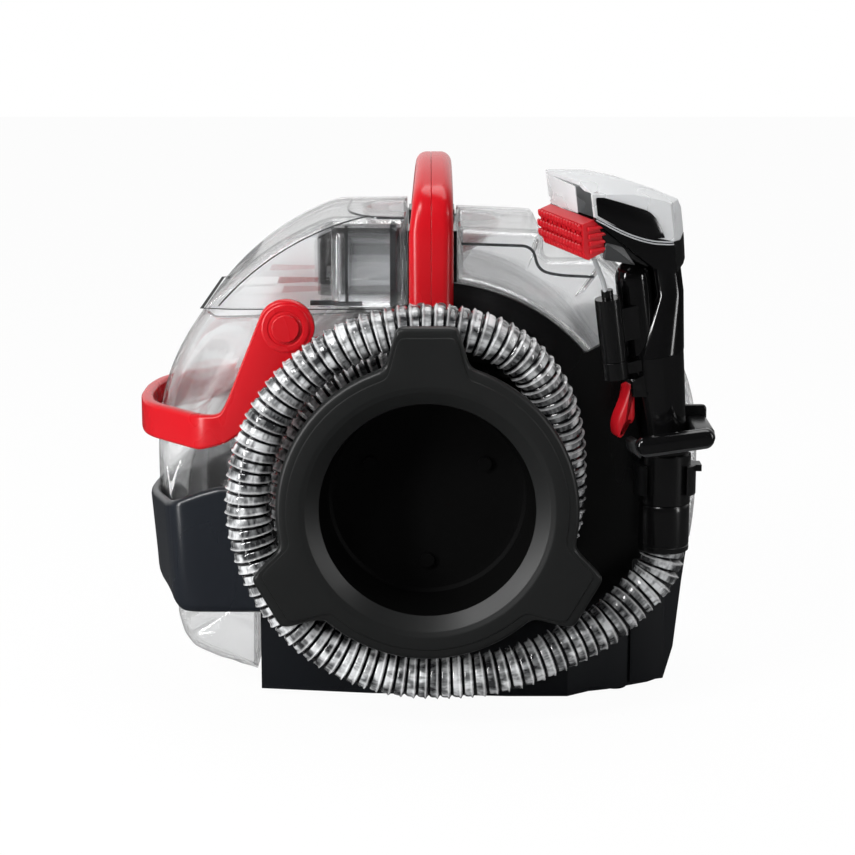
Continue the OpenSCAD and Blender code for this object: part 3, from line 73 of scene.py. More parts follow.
# %% Camera
LOOK_DOWN, FIELD_OF_VIEW = 11.5, 22.01
CAMERA_AT = (0, -1.3895, 0.4457)
camera = bpy.data.cameras.new("camera")
camera.sensor_fit = "HORIZONTAL"
camera.angle = radians(FIELD_OF_VIEW)
camera_object = bpy.data.objects.new("camera", camera)
camera_object.location = CAMERA_AT
camera_object.rotation_euler = (radians(90 - LOOK_DOWN), 0, 0)
bpy.context.scene.collection.objects.link(camera_object)
bpy.context.scene.camera = camera_object
bpy.context.scene.view_settings.view_transform = "Standard"
print("camera angle", round(camera.angle, 4))

# %% [markdown]
# ## Meshes from arrays
# A surface with two parameters is a grid of points, so its faces follow from row and column
# numbers alone. The helper below writes them for any grid, open or closed both ways. It could
# be done with loops, but whole arrays are shorter and much faster.

# %% Grid and line helpers
def grid_faces(rows, columns, around_rows=False, around_columns=False, start=0):
    """Quads of a grid: each joins point (r, c) to (r, c+1), (r+1, c+1) and (r+1, c)."""
    r = np.arange(rows if around_rows else rows - 1)
    c = np.arange(columns if around_columns else columns - 1)
    r, c = np.meshgrid(r, c, indexing="ij")
    down, right = (r + 1) % rows, (c + 1) % columns
    quads = np.stack([r * columns + c, r * columns + right, down * columns + right, down * columns + c], -1)
    return (quads.reshape(-1, 4) + start).tolist()


def closed_grid(rows, columns, start=0):
    """Quads of a grid that closes round its columns, and a flat face at either end."""
    last = start + (rows - 1) * columns
    ends = [list(range(start, start + columns)), list(range(last, last + columns))]
    return grid_faces(rows, columns, around_columns=True, start=start) + ends


def lengths_along(line):
    """How far along a line each of its points lies."""
    return np.concatenate([[0], np.cumsum(np.linalg.norm(np.diff(line, axis=0), axis=1))])


def at_lengths(line, at):
    """Points of a line at given lengths along it."""
    along = lengths_along(line)
    return np.stack([np.interp(at, along, values) for values in line.T], -1)


def even(line, count):
    """The same line as a number of evenly spaced points."""
    return at_lengths(line, np.linspace(0, lengths_along(line)[-1], count))


# %% Mesh helpers
def tidy_mesh(mesh, outward):
    """Merges points that coincide and, on request, turns the faces outward."""
    work = bmesh.new()
    work.from_mesh(mesh)
    bmesh.ops.remove_doubles(work, verts=work.verts, dist=1e-5)
    bmesh.ops.dissolve_degenerate(work, dist=1e-6, edges=work.edges)
    if outward:
        bmesh.ops.recalc_face_normals(work, faces=work.faces)
    work.to_mesh(mesh)
    work.free()


def settle(piece, body, finish, stands_for=()):
    """Gives a piece its body, its material and the CAD nodes that it stands for."""
    piece.data.materials.clear()
    piece.data.materials.append(finish)
    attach(piece, body)
    if stands_for:
        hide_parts(*stands_for)


def new_piece(name, points, faces, body, slot, finish, stands_for=(), sharp=35, outward=True, values=None):
    """A piece from points in millimetres, faces as lists of point numbers, and named values at the points."""
    mesh = bpy.data.meshes.new(name)
    mesh.from_pydata((np.asarray(points, float).reshape(-1, 3) * MM).tolist(), [], faces)
    for key, value in (values or {}).items():
        mesh.attributes.new(key, "FLOAT", "POINT").data.foreach_set("value", np.asarray(value, np.float32))
    tidy_mesh(mesh, outward)
    mesh.shade_smooth()
    mesh.set_sharp_from_angle(angle=radians(sharp))
    piece = bpy.data.objects.new(name, mesh)
    bpy.context.scene.collection.objects.link(piece)
    settle(piece, body, finish, stands_for)
    print(name, len(mesh.polygons), "faces")
    return piece


def second_finish(piece, finish, where):
    """Gives a second finish to the faces whose centres, in millimetres, meet a test."""
    piece.data.materials.append(finish)
    centre = np.zeros(len(piece.data.polygons) * 3, np.float32)
    piece.data.polygons.foreach_get("center", centre)
    chosen = where(*(centre.reshape(-1, 3) / MM).T)
    piece.data.polygons.foreach_set("material_index", chosen.astype(np.int32))


def modifier(piece, kind, **settings):
    """Adds a modifier and sets its fields."""
    added = piece.modifiers.new(kind.title(), kind)
    for key, value in settings.items():
        setattr(added, key, value)

# %% [markdown]
# ## Shader maths as Python
# A material is a graph of nodes. Clicking it together is slow to read back, so a small class
# wraps an output socket, and adding or multiplying two wires adds the Math node for it. Colours
# go through Mix nodes, because a Math node would turn them grey.

# %% Wire, Graph and Recipe
class Wire:
    """An output socket on which + and * add Math nodes."""

    def __init__(self, graph, socket):
        self.graph, self.socket = graph, socket

    def other(self, output):
        """Another output of the same node."""
        return Wire(self.graph, self.socket.node.outputs[output])

    def maths(self, operation, second):
        return self.graph.node("Math", {"operation": operation}, {0: self, 1: second})

    def __add__(self, second):
        return self.maths("ADD", second)

    def __mul__(self, second):
        return self.maths("MULTIPLY", second)

    __radd__, __rmul__ = __add__, __mul__


class Graph:
    """A node tree, with one method that adds any node to it."""

    def __init__(self, tree):
        self.tree = tree

    def node(self, kind, settings=None, inputs=None, output=0):
        """Adds a node: its settings first, then the values or wires of its inputs."""
        made = self.tree.nodes.new("ShaderNode" + kind)
        for key, value in (settings or {}).items():
            if key == "stops":
                self.set_stops(made.color_ramp, value)
            else:
                setattr(made, key, value)
        for key, value in (inputs or {}).items():
            if isinstance(value, Wire):
                self.tree.links.new(value.socket, made.inputs[key])
            else:
                made.inputs[key].default_value = value
        return Wire(self, made.outputs[output])

    @staticmethod
    def set_stops(ramp, stops):
        """Stops of a ramp: each has a place and a grey level or a colour."""
        while len(ramp.elements) < len(stops):
            ramp.elements.new(0.5)
        for element, (place, shade) in zip(ramp.elements, stops):
            element.position = place
            element.color = (*shade, 1) if isinstance(shade, tuple) else (shade, shade, shade, 1)


class Recipe(Graph):
    """A material: its Principled shader, uniform values on its sockets, and nodes that feed it."""

    def __init__(self, name, **uniform):
        self.material = bpy.data.materials.new(name)
        self.material.use_nodes = True
        super().__init__(self.material.node_tree)
        self.shader = self.tree.nodes["Principled BSDF"]
        for key, value in uniform.items():
            socket = self.shader.inputs[key.replace("_", " ").title().replace("Ior", "IOR")]
            socket.default_value = (*value, 1) if isinstance(value, tuple) else value
        self.coordinates = self.node("TexCoord", output="Object")

    def feed(self, socket, wire):
        self.tree.links.new(wire.socket, self.shader.inputs[socket])

    def noise(self, scale, detail, stretch=(1, 1, 1)):
        """Noise on the object's own coordinates, stretched along its axes."""
        place = self.node("Mapping", {}, {0: self.coordinates, 3: stretch})
        return self.node("TexNoise", {}, {"Vector": place, "Scale": scale, "Detail": detail})

    def attribute(self, name):
        """A named value that the mesh carries at its points."""
        return self.node("Attribute", {"attribute_name": name}, output="Fac")

    def ramp(self, wire, *stops):
        return self.node("ValToRGB", {"stops": stops}, {0: wire})

    def blend(self, factor, first, second):
        """A colour between two, by a factor."""
        sides = {6: first, 7: second}
        for key, value in sides.items():
            if isinstance(value, tuple):
                sides[key] = (*value, 1)
        return self.node("Mix", {"data_type": "RGBA"}, {0: factor, **sides}, output=2)

    def bump(self, height, depth):
        """Feeds Normal with a bump of the given depth in millimetres."""
        self.feed("Normal", self.node("Bump", {}, {"Distance": depth * MM, "Height": height}))

# %% [markdown]
# ## Moulded plastic
# Most of the machine is moulded plastic. A flat colour would look like a drawing: the real
# surface has a fine spark texture, faint flow marks that change its gloss, and dust that dulls
# it in patches. One function writes all three, so each plastic is a line with its own numbers.

# %% Plastics
def moulded(name, colour, roughness, grain=0.03, grain_scale=2200, patch=0.10, tint=0.18, coat=0.0,
            shine=0.5):
    """Plastic with spark texture (bump), flow marks (gloss) and a slight drift of colour."""
    made = Recipe(name, base_color=colour, roughness=roughness, coat_weight=coat, coat_roughness=0.08,
                  specular_ior_level=shine)
    flow = made.noise(9, 4, (1, 1, 0.45))
    specks = made.noise(420, 2)
    glossier, duller = max(roughness - patch / 2, 0.03), roughness + patch
    made.feed("Roughness", made.ramp(flow, (0.3, glossier), (0.75, duller)))
    lighter = tuple(c * (1 + tint) + 0.002 for c in colour)
    made.feed("Base Color", made.blend(flow * 0.7 + specks * 0.3, colour, lighter))
    made.bump(made.noise(grain_scale, 2), grain)
    return made.material


satin_black = moulded("satin black", (0.0026, 0.0027, 0.0029), 0.24, grain=0.02, shine=0.4)
gloss_black = moulded("gloss black", (0.0016, 0.0016, 0.0018), 0.09, grain=0.005, patch=0.04)
wand_black = moulded("wand black", (0.0020, 0.0020, 0.0022), 0.17, grain=0.008, patch=0.05, shine=0.5)
rack_black = moulded("rack black", (0.0068, 0.0072, 0.0072), 0.38, grain=0.03, patch=0.08, shine=0.3)
# Painted shade: near black and dull, for the shade inside the rack's deep dish and on its screws.
dish_painted_shade = moulded("dish painted shade", (0.0008, 0.0008, 0.0008), 0.45, patch=0.06, shine=0.08)
body_dark = moulded("body dark", (0.0042, 0.0050, 0.0068), 0.30, shine=0.35)
belt_dark = moulded("belt dark", (0.0085, 0.0105, 0.0145), 0.30, shine=0.5)
mid_grey = moulded("mid grey", (0.030, 0.031, 0.032), 0.36)
pale_grey = moulded("pale grey", (0.36, 0.37, 0.38), 0.32)
satin_red = moulded("satin red", (0.46, 0.004, 0.009), 0.27, grain=0.015, patch=0.07, tint=0.10, shine=0.35)
deep_red = moulded("deep red", (0.44, 0.004, 0.010), 0.33, tint=0.12, shine=0.35)
white_plastic = moulded("white plastic", (0.74, 0.75, 0.75), 0.4)
float_pale = moulded("float pale", (0.62, 0.63, 0.64), 0.35)
soft_rubber = moulded("soft rubber", (0.006, 0.006, 0.006), 0.7, grain=0.06, grain_scale=1500, shine=0.3)
print("plastics made")

# %% [markdown]
# ## Steel and paint
# Screws and shafts are brushed: the scratches run round them, so noise is stretched along one
# axis. The motor's paint is thicker, with orange peel, which is a broad and shallow bump.

# %% Metals
def steel(name, colour, roughness, stretch):
    """Bare steel with fine scratches along one axis."""
    made = Recipe(name, base_color=colour, metallic=1.0, roughness=roughness)
    scratches = made.noise(260, 3, stretch)
    made.feed("Roughness", made.ramp(scratches, (0.3, roughness - 0.08), (0.7, roughness + 0.14)))
    made.feed("Base Color", made.blend(scratches, colour, tuple(c * 0.8 for c in colour)))
    made.bump(scratches, 0.01)
    return made.material


screw_steel = steel("screw steel", (0.55, 0.56, 0.58), 0.32, (1, 14, 1))
shaft_steel = steel("shaft steel", (0.62, 0.62, 0.63), 0.25, (14, 1, 14))
motor_paint = moulded("motor paint", (0.13, 0.135, 0.145), 0.35, grain=0.08, grain_scale=700, coat=0.3)
print("metals made")

# %% [markdown]
# ## Clear plastic
# The tanks are clear moulded plastic. Alpha alone would look like fog, so the shader mostly
# transmits light and bends it, and a little alpha keeps the walls from darkening one another.
# The tanks' walls have a real thickness: the doubled lines at their edges come from that. Their
# far walls are milky, so that the machine's back doesn't show through them.

# %% Clear plastics
def clear(name, tint, roughness, haze, through=1.0, alpha=1.0):
    """Clear plastic that transmits and refracts, with hazy patches."""
    made = Recipe(name, base_color=tint, roughness=roughness, transmission_weight=through, ior=1.46,
                  alpha=alpha)
    patches = made.noise(14, 3)
    made.feed("Roughness", made.ramp(patches, (0.4, roughness), (0.8, roughness + haze)))
    made.bump(made.noise(35, 2), 0.02)
    return made.material


tank_clear = clear("tank clear", (0.98, 0.985, 0.99), 0.03, 0.03, alpha=0.55)
column_clear = clear("column clear", (0.80, 0.81, 0.82), 0.03, 0.03, alpha=0.8)
column_dark = clear("column dark", (0.10, 0.105, 0.11), 0.08, 0.05, through=0.8)
tank_milky = clear("tank milky", (0.95, 0.955, 0.96), 0.42, 0.15, through=0.65)
window_frosted = clear("window frosted", (0.84, 0.85, 0.86), 0.25, 0.12, through=0.45)
print("clear plastics made")

# %% [markdown]
# ## The hose's route
# The hose leaves its cuff under the wand, runs down to the rack, goes one and a half times round
# it and ends in the elbow. A curve object could follow it, but then the ribs would have to be an
# array along the curve. Here the route is a list of points, a smooth curve through them gives
# the centre line, and the ribs come from a formula.

# %% Route of the hose
STEM_X, STEM_Y, CENTRE_Z, MID_Y = 144.5, -83.0, 139.0, 22.0
LOOP_R, INNER_R, LOOP_Y, INNER_Y = 107.5, 83.0, -111.0, -83.0
TURNED, TURN_STEP = 540, 9.0
SHIFT_START, SHIFT_TURN = 195, 75
ELBOW_X = 33
lead_in = [(144.5, -83, 134), (144.5, -83, 120), (144.5, -83, 106), (143.5, -83.5, 98), (139, -85, 87),
           (128, -88, 76), (109, -95, 60), (81, -103, 46.5), (58, -108, 38), (38, -110.5, 33.5),
           (20, -111, 31.8)]


def ease(t):
    """Smooth step from 0 to 1."""
    t = np.clip(t, 0, 1)
    return t * t * (3 - 2 * t)


turn = np.arange(0, TURNED + 1, TURN_STEP)
shift = ease((turn - SHIFT_START) / SHIFT_TURN)
turn_r = LOOP_R + (INNER_R - LOOP_R) * shift
turn_angle = np.radians(270 - turn)
turns = np.stack([turn_r * np.cos(turn_angle), LOOP_Y + (INNER_Y - LOOP_Y) * shift,
                  CENTRE_Z + turn_r * np.sin(turn_angle)], -1)
lead_out = [(ELBOW_X * i / 4, INNER_Y, CENTRE_Z + INNER_R) for i in (1, 2, 3, 4)]
route = np.concatenate([lead_in, turns, lead_out])


def smooth_curve(points, steps=4):
    """Catmull-Rom curve: each stretch is the cubic through two points with slopes from their neighbours."""
    ends = np.concatenate([points[:1], points, points[-1:]])
    a, b, c, d = (ends[i:len(ends) - 3 + i, None] for i in range(4))
    t = np.linspace(0, 1, steps, endpoint=False)[None, :, None]
    curve = (2 * b + (c - a) * t + (2 * a - 5 * b + 4 * c - d) * t**2 + (3 * b - a - 3 * c + d) * t**3) / 2
    return np.concatenate([curve.reshape(-1, 3), points[-1:]])


centre_line = smooth_curve(route)
hose_length = lengths_along(centre_line)[-1]
print("hose", round(hose_length, 1), "mm long")

# %% [markdown]
# ## The ribbed tube
# Along the hose the radius repeats with every rib: a thin raised ring, then a slightly bulged
# stretch. The ring of points at each step is carried along without twist, by turning the last
# one's direction just enough to stay square to the path.

# %% Sweep along a path
def frames_along(path):
    """Two directions across a path at each point: one is carried along it, the other is square to both."""
    tangent = np.gradient(path, axis=0)
    tangent /= np.linalg.norm(tangent, axis=1)[:, None]
    across = np.empty_like(path)
    side = np.cross(tangent[0], [1.0, 0, 0])
    if np.linalg.norm(side) < 0.1:
        side = np.cross(tangent[0], [0, 1.0, 0])
    for i, t in enumerate(tangent):
        side = side - t * (side @ t)
        side /= np.linalg.norm(side)
        across[i] = side
    return across, np.cross(tangent, across)


def tube_points(path, radius, sides):
    """Rings round a path: centre + radius (cos a across + sin a up), one row of points a ring."""
    across, up = frames_along(path)
    a = np.linspace(0, 2 * np.pi, sides, endpoint=False)
    radius = np.broadcast_to(radius, (len(path),))[:, None, None]
    return path[:, None] + radius * (np.cos(a)[None, :, None] * across[:, None]
                                     + np.sin(a)[None, :, None] * up[:, None])


def tube(name, path, radius, sides, *place, bore=None, values=None):
    """A tube along a path, closed by flat ends, or hollow with a bore."""
    outer = tube_points(path, radius, sides).reshape(-1, 3)
    rows = len(path)
    if bore is None:
        return new_piece(name, outer, closed_grid(rows, sides), *place)
    inner = tube_points(path, bore, sides).reshape(-1, 3)
    base = rows * sides
    faces = grid_faces(rows, sides, around_columns=True)
    faces += [q[::-1] for q in grid_faces(rows, sides, around_columns=True, start=base)]
    n = np.arange(sides)
    following = (n + 1) % sides
    for ring in (0, (rows - 1) * sides):
        rim = np.stack([ring + n, ring + following, base + ring + following, base + ring + n], -1)
        faces += rim.tolist()
    return new_piece(name, np.concatenate([outer, inner]), faces, *place, values=values)

# %% [markdown]
# ## The hose's material
# The wall is grey, nearly clear plastic, and the ribs are dark rings on it. Light and dark
# patches on the wall are painted reflections, and a lighter band on each crest is a painted
# highlight. A band of colour that follows the ribs needs to know how far along the hose a point
# is, so the mesh carries that as an attribute. Behind the wall the thin solution tube shows as a
# darker core.

# %% Hose material
def hose_finish():
    """Grey translucent wall: dark rings where 'rib' is high, painted reflections between them, a painted
    highlight on crests.
    """
    made = Recipe("hose wall", roughness=0.16, transmission_weight=0.12, coat_weight=0.6, coat_roughness=0.06)
    place = made.node("CombineXYZ", {}, {0: made.attribute("along") * 0.42, 1: made.attribute("side") * 5.0})
    cloud = made.node("TexNoise", {}, {"Vector": place, "Scale": 1.0, "Detail": 3.0, "Roughness": 0.55})
    fine = made.noise(160, 3)
    ring = made.ramp(made.attribute("rib"), (0.22, 0.0), (0.50, 1.0))
    # Painted reflections: the noise lays light and dark patches along the wall.
    wall = made.ramp(cloud * 0.85 + fine * 0.15, (0.40, (0.030, 0.031, 0.033)), (0.49, (0.20, 0.204, 0.208)),
                     (0.60, (0.70, 0.71, 0.72)))
    # Painted highlight: the crest of each bulge is lightened towards pale grey.
    wall = made.blend(made.attribute("crest") * 0.6, wall, (0.80, 0.80, 0.81))
    made.feed("Base Color", made.blend(ring, wall, (0.006, 0.006, 0.007)))
    made.feed("Roughness", made.ramp(cloud, (0.3, 0.08), (0.7, 0.24)))
    made.bump(fine, 0.03)
    return made.material


# %% Hose
RIBS, RIB_ROWS, HOSE_SIDES = 165, 12, 28
HOSE_R, HOSE_BORE, CORE_R, CORE_OFF = 14.0, 11.0, 3.4, 5.0

rows_along = np.arange(RIBS * RIB_ROWS + 1)
phase = (rows_along % RIB_ROWS) / RIB_ROWS
rib_shape = np.exp(-((np.minimum(phase, 1 - phase) / 0.12) ** 2))
crest_shape = np.exp(-(((phase - 0.26) / 0.08) ** 2))
hose_radius = HOSE_R - 1.5 + 1.5 * crest_shape - 0.9 * rib_shape + 0.5 * np.sin(np.pi * phase)
hose_radius = np.minimum(hose_radius, HOSE_R)
hose_path = at_lengths(centre_line, rows_along / RIB_ROWS * (hose_length / RIBS))
round_hose = np.abs(np.arange(HOSE_SIDES) / (HOSE_SIDES / 2) - 1)


def on_both_walls(value):
    """A value for each row of the hose, repeated round it, on the outer wall and then the inner one."""
    return np.tile(np.repeat(value, HOSE_SIDES), 2)


hose = tube("hose", hose_path, hose_radius, HOSE_SIDES, "body", "hose_plastic", hose_finish(), ("hose",),
            bore=HOSE_BORE,
            values={"rib": on_both_walls(rib_shape), "crest": on_both_walls(crest_shape),
                    "along": on_both_walls(rows_along / RIB_ROWS),
                    "side": np.tile(round_hose, 2 * len(rows_along))})

core_path = at_lengths(centre_line, np.linspace(2, hose_length - 2, 300))
core_path = core_path + frames_along(core_path)[0] * CORE_OFF
tube("solution_tube", core_path, CORE_R, 12, "body", "hose_plastic",
     moulded("core grey", (0.05, 0.052, 0.055), 0.3))

# %% [markdown]
# ## Softened copies
# CAD edges are perfectly sharp, and no moulded edge is. Modelling every shell again would be
# slow, so a copy of the CAD mesh is merged into clean faces and a Bevel modifier rounds each
# edge whose angle is large.

# %% Softened
def softened(node, width, finish, segments=3):
    """A copy of a CAD node with rounded edges."""
    source = NODES[node]
    mesh = source.data.copy()
    work = bmesh.new()
    work.from_mesh(mesh)
    bmesh.ops.remove_doubles(work, verts=work.verts, dist=1e-5)
    bmesh.ops.dissolve_limit(work, angle_limit=radians(0.6), verts=work.verts, edges=work.edges)
    work.to_mesh(mesh)
    work.free()
    for old in [a for a in mesh.attributes if a.name in ("custom_normal", "sharp_edge")]:
        mesh.attributes.remove(old)
    mesh.shade_smooth()
    mesh.set_sharp_from_angle(angle=radians(32))
    sharp = np.zeros(len(mesh.edges), bool)
    if "sharp_edge" in mesh.attributes:
        mesh.attributes["sharp_edge"].data.foreach_get("value", sharp)
        mesh.attributes.remove(mesh.attributes["sharp_edge"])
    weight = mesh.attributes.new("bevel_weight_edge", "FLOAT", "EDGE")
    weight.data.foreach_set("value", sharp.astype(np.float32))
    piece = bpy.data.objects.new(node + "_soft", mesh)
    bpy.context.scene.collection.objects.link(piece)
    modifier(piece, "BEVEL", width=width * MM, segments=segments, limit_method="WEIGHT",
             harden_normals=True, miter_outer="MITER_ARC")
    settle(piece, source["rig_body"], finish, (node,))


def keep(finish, *nodes):
    """CAD nodes whose shape is right: each gets a finish on its own slots."""
    for node in nodes:
        data = NODES[node].data
        data.materials.clear()
        data.materials.append(finish)

# %% [markdown]
# ## Body and base
# The base, the panels and the drum housing are plain shells, so softened copies are enough. The
# large shells get rounder edges than the grille and the switch.

# %% Body shells
softened("base_shell", 2.6, body_dark)
softened("near_panel", 1.2, satin_black)
softened("far_panel", 1.2, body_dark)
softened("drum_housing", 1.6, satin_black)
softened("exhaust_grille", 0.6, satin_black, segments=2)
softened("cord_gland", 0.8, soft_rubber)
softened("cord_hook_fixed", 2.0, satin_black)
softened("cord_hook_turning", 2.0, satin_black)
softened("switch_bezel", 0.7, satin_black, segments=2)
softened("power_switch", 0.7, deep_red, segments=2)
softened("feet", 1.0, soft_rubber)
keep(body_dark, "base_plate")
keep(screw_steel, "handle_screws", "bearings", "valve_plunger")
keep(satin_black, "base_screws", "trigger_pin")
# Painted shade: the screws at the dish's bottom get the dish's shade finish.
keep(dish_painted_shade, "rack_screws")
print("body shells softened")

# %% [markdown]
# ## Machinery
# The motor, fan, pump and ducts sit inside and show only as dark shapes behind clear plastic.
# Their CAD shapes are right, so they keep them and only get finishes.

# %% Machinery
keep(satin_black, "inlet_duct", "suction_duct", "motor_mount", "valve_socket", "float_cage")
keep(mid_grey, "fan_housing")
keep(white_plastic, "impeller", "water_lines")
keep(motor_paint, "motor", "pump")
keep(shaft_steel, "motor_shaft")
keep(soft_rubber, "lid_seal")
keep(float_pale, "float_ball")
softened("tank_cap", 0.5, satin_black, segments=2)
print("machinery finished")

# %% [markdown]
# ## Handle
# The handle is an arch in two halves, left and right, with a thin seam along its middle. It is
# gripped, so its outer edges are well rounded. A softened copy of the CAD would show the crease
# where the arch's shoulder meets its top, so each half is swept: an outer and an inner line of
# the arch, both smoothed, with a rounded section between them.

# %% Handle lines
STATIONS = 220


def smoothed(line, spread, spacing=1.0):
    """The line resampled and averaged along itself with a bell curve; its ends stay."""
    line = at_lengths(line, np.arange(0, lengths_along(line)[-1], spacing))
    reach = int(3 * spread / spacing)
    bell = np.exp(-0.5 * (np.arange(-reach, reach + 1) * spacing / spread) ** 2)
    padded = np.concatenate([2 * line[0] - line[reach:0:-1], line, 2 * line[-1] - line[-2:-reach - 2:-1]])
    return np.stack([np.convolve(padded[:, i], bell / bell.sum(), "valid") for i in (0, 1)], -1)


def arch(radius, leg_y, shoulder_z, top):
    """Whole arch in (y, z): leg, shoulder circle, the lower of shoulder and top, and its mirror image."""
    a = np.radians(np.linspace(180, 90, 60))
    bend = np.stack([leg_y + radius + radius * np.cos(a), shoulder_z + radius * np.sin(a)], -1)
    flat = np.stack([np.linspace(leg_y + radius, MID_Y, 40), np.full(40, shoulder_z + radius)], -1)
    line = np.concatenate([[(leg_y, 240.0)], bend, flat[1:]])
    line[:, 1] = np.minimum(line[:, 1], top(line[:, 0]))
    far = line[-2::-1] * (-1, 1) + (2 * MID_Y, 0)
    return np.concatenate([line, far])


def at_stations(line):
    """The line as a fixed number of points, evenly spaced in its own numbering."""
    own = np.linspace(0, 1, len(line))
    return np.stack([np.interp(np.linspace(0, 1, STATIONS), own, values) for values in line.T], -1)


outer_arch = at_stations(smoothed(arch(42, -76, 298, lambda y: 78 + np.sqrt(260**2 - (y - MID_Y) ** 2)), 7))
inner_arch = at_stations(smoothed(arch(30, -64, 288, lambda y: 318 + 0 * y), 2))
depth = np.linalg.norm(inner_arch - outer_arch, axis=1)
narrow = np.clip((outer_arch[:, 1] - 299) / 40, 0, 1)
print("handle", round(lengths_along(outer_arch)[-1]), "mm along its outer line")

# %% Handle halves
CORNER_A = np.radians(np.arange(0, 91, 11.25))


def handle_half(name, edge_x, seam_x):
    """One half: a section with 7 mm corners outside, 4 mm inside, and fine ones at the seam."""
    sign = np.sign(seam_x - edge_x)[:, None]
    rings = []
    for at_edge, base, radius in ((True, 0, 7.0), (False, 0, 0.35), (False, 1, 0.35), (True, 1, 4.0)):
        start, side = (edge_x, 1) if at_edge else (seam_x, -1)
        way = -1 if base else 1
        turn = CORNER_A[::-1] if side == way else CORNER_A
        x = start[:, None] + sign * side * radius * (1 - np.sin(turn))
        d = base * depth[:, None] + way * radius * (1 - np.cos(turn))
        rings.append(np.stack([x, d], -1))
    section = np.concatenate(rings, 1)
    share = section[..., 1:] / depth[:, None, None]
    line = outer_arch[:, None] * (1 - share) + inner_arch[:, None] * share
    points = np.stack([section[..., 0], line[..., 0], line[..., 1]], -1)
    faces = closed_grid(STATIONS, section.shape[1])
    new_piece(name + "_swept", points, faces, "body", "red_plastic", satin_red, (name,), 40)


handle_half("handle_left", -11.25 + 4 * narrow, np.full(STATIONS, 2.15))
handle_half("handle_right", 15.75 - 0.5 * narrow, np.full(STATIONS, 2.35))

# %% [markdown]
# ## Rounded outlines
# Many parts are a flat outline with rounded corners and edges. A corner is rounded by a small
# parabola between its two sides, and an edge by rings that step inward along a quarter circle.

# %% Outline helpers
def rounded(corners, radius, count=6):
    """Closed outline with rounded corners: a parabola from side to side replaces each corner."""
    corners = np.asarray(corners, float)
    before, after = np.roll(corners, 1, 0) - corners, np.roll(corners, -1, 0) - corners
    lengths = [np.linalg.norm(v, axis=1)[:, None] for v in (before, after)]
    radius = np.broadcast_to(np.asarray(radius, float), (len(corners),))[:, None]
    starts, ends = (corners + v / n * np.minimum(radius, 0.48 * n) for v, n in zip((before, after), lengths))
    t = np.linspace(0, 1, count)[None, :, None]
    curve = (1 - t) ** 2 * starts[:, None] + 2 * t * (1 - t) * corners[:, None] + t**2 * ends[:, None]
    return curve.reshape(-1, 2)


def rounded_box(x0, z0, x1, z1, radius, count=6):
    """Closed outline of a rectangle with rounded corners, from two opposite ones."""
    return rounded([(x0, z0), (x1, z0), (x1, z1), (x0, z1)], radius, count)


def inward(outline):
    """Unit directions into a closed outline, square to it at each point."""
    along = np.roll(outline, -1, 0) - np.roll(outline, 1, 0)
    normal = np.stack([-along[:, 1], along[:, 0]], -1)
    normal /= np.maximum(np.linalg.norm(normal, axis=1), 1e-9)[:, None]
    area = np.sum(outline[:, 0] * np.roll(outline[:, 1], -1) - np.roll(outline[:, 0], -1) * outline[:, 1])
    return normal if area > 0 else -normal


def plate_points(outline, low, high, edge, count=4):
    """Rings of a plate: each steps in by edge (1 - sin a) at a height edge (1 - cos a) from a face."""
    a = np.linspace(0, np.pi / 2, count)
    step, rise = edge * (1 - np.sin(a)), edge * (1 - np.cos(a))
    steps_in = np.concatenate([step, step[::-1]])
    heights = np.concatenate([low + rise, (high - rise)[::-1]])
    flat = outline[None] + inward(outline)[None] * steps_in[:, None, None]
    return np.concatenate([flat, np.broadcast_to(heights[:, None, None], flat.shape[:2] + (1,))], -1)


def plate(name, outline, low, high, edge, *place, turned=None):
    """A plate whose outline lies in X and Z and whose thickness is along Y, then placed by turned."""
    rings = plate_points(np.asarray(outline, float), low, high, edge)
    points = rings.reshape(-1, 3)[:, [0, 2, 1]]
    return new_piece(name, turned(points) if turned else points, closed_grid(*rings.shape[:2]), *place)

# %% [markdown]
# ## Hose rack
# The rack is one moulding: a dish, a cone at its mouth, a round flange and three lugs that hold
# the hose. It could be turned like a wheel and the lugs joined to it, but then their roots would
# be sharp. Here its outer edge is a radius for each angle, with the lugs as places where that
# radius rises, so the whole rack is one grid of angle by profile. The inside of the dish gets a
# near black, dull finish, which is painted shade for the deep recess.

# %% Rack
FLANGE_R, LUG_R, RACK_COLUMNS = 89.5, 110.5, 1440
theta = np.linspace(0, 2 * np.pi, RACK_COLUMNS, endpoint=False)
lug_at = np.radians([90, 210, 330])
from_lug = np.abs((theta[:, None] - lug_at + np.pi) % (2 * np.pi) - np.pi).min(1)
lug_tip = LUG_R / np.cos(from_lug)
lug_side = (18 + 0.265 * LUG_R) / (np.tan(from_lug) + 0.265) / np.cos(from_lug)
lug_edge = (lug_tip**-38.0 + np.where(from_lug < 0.6, lug_side, 40.0) ** -38.0) ** (-1 / 38)
edge_r = (lug_edge**34 + FLANGE_R**34) ** (1 / 34)

# Each row is a radius, or where that is 0 a step from the outer edge, and then the place along Y.
profile = [
    (0, 0, -89), (30, 0, -89), (54, 0, -89), (58, 0, -89.5), (60, 0, -92), (60.6, 0, -100), (63.2, 0, -126),
    (64.2, 0, -129.2), (72, 0, -135.4), (72.8, 0, -135.9), (74, 0, -136.1), (75.0, 0, -136.8),
    (76.4, 0, -137), (80, 0, -137), (0, -7.6, -137), (0, -6.6, -136.9), (0, -6.0, -136.3),
    (0, -5.0, -136.2), (0, -2.6, -136.2), (0, -1.2, -135.6), (0, -0.3, -134.4), (0, 0, -133),
    (0, 0, -130.6), (0, -0.5, -129.5), (0, -1.6, -129), (69, 0, -129), (67.2, 0, -128.6), (66.5, 0, -127),
    (66.5, 0, -108), (64, 0, -103), (64, 0, -64), (61, 0, -64), (61, 0, -85), (40, 0, -86), (0, 0, -86)]
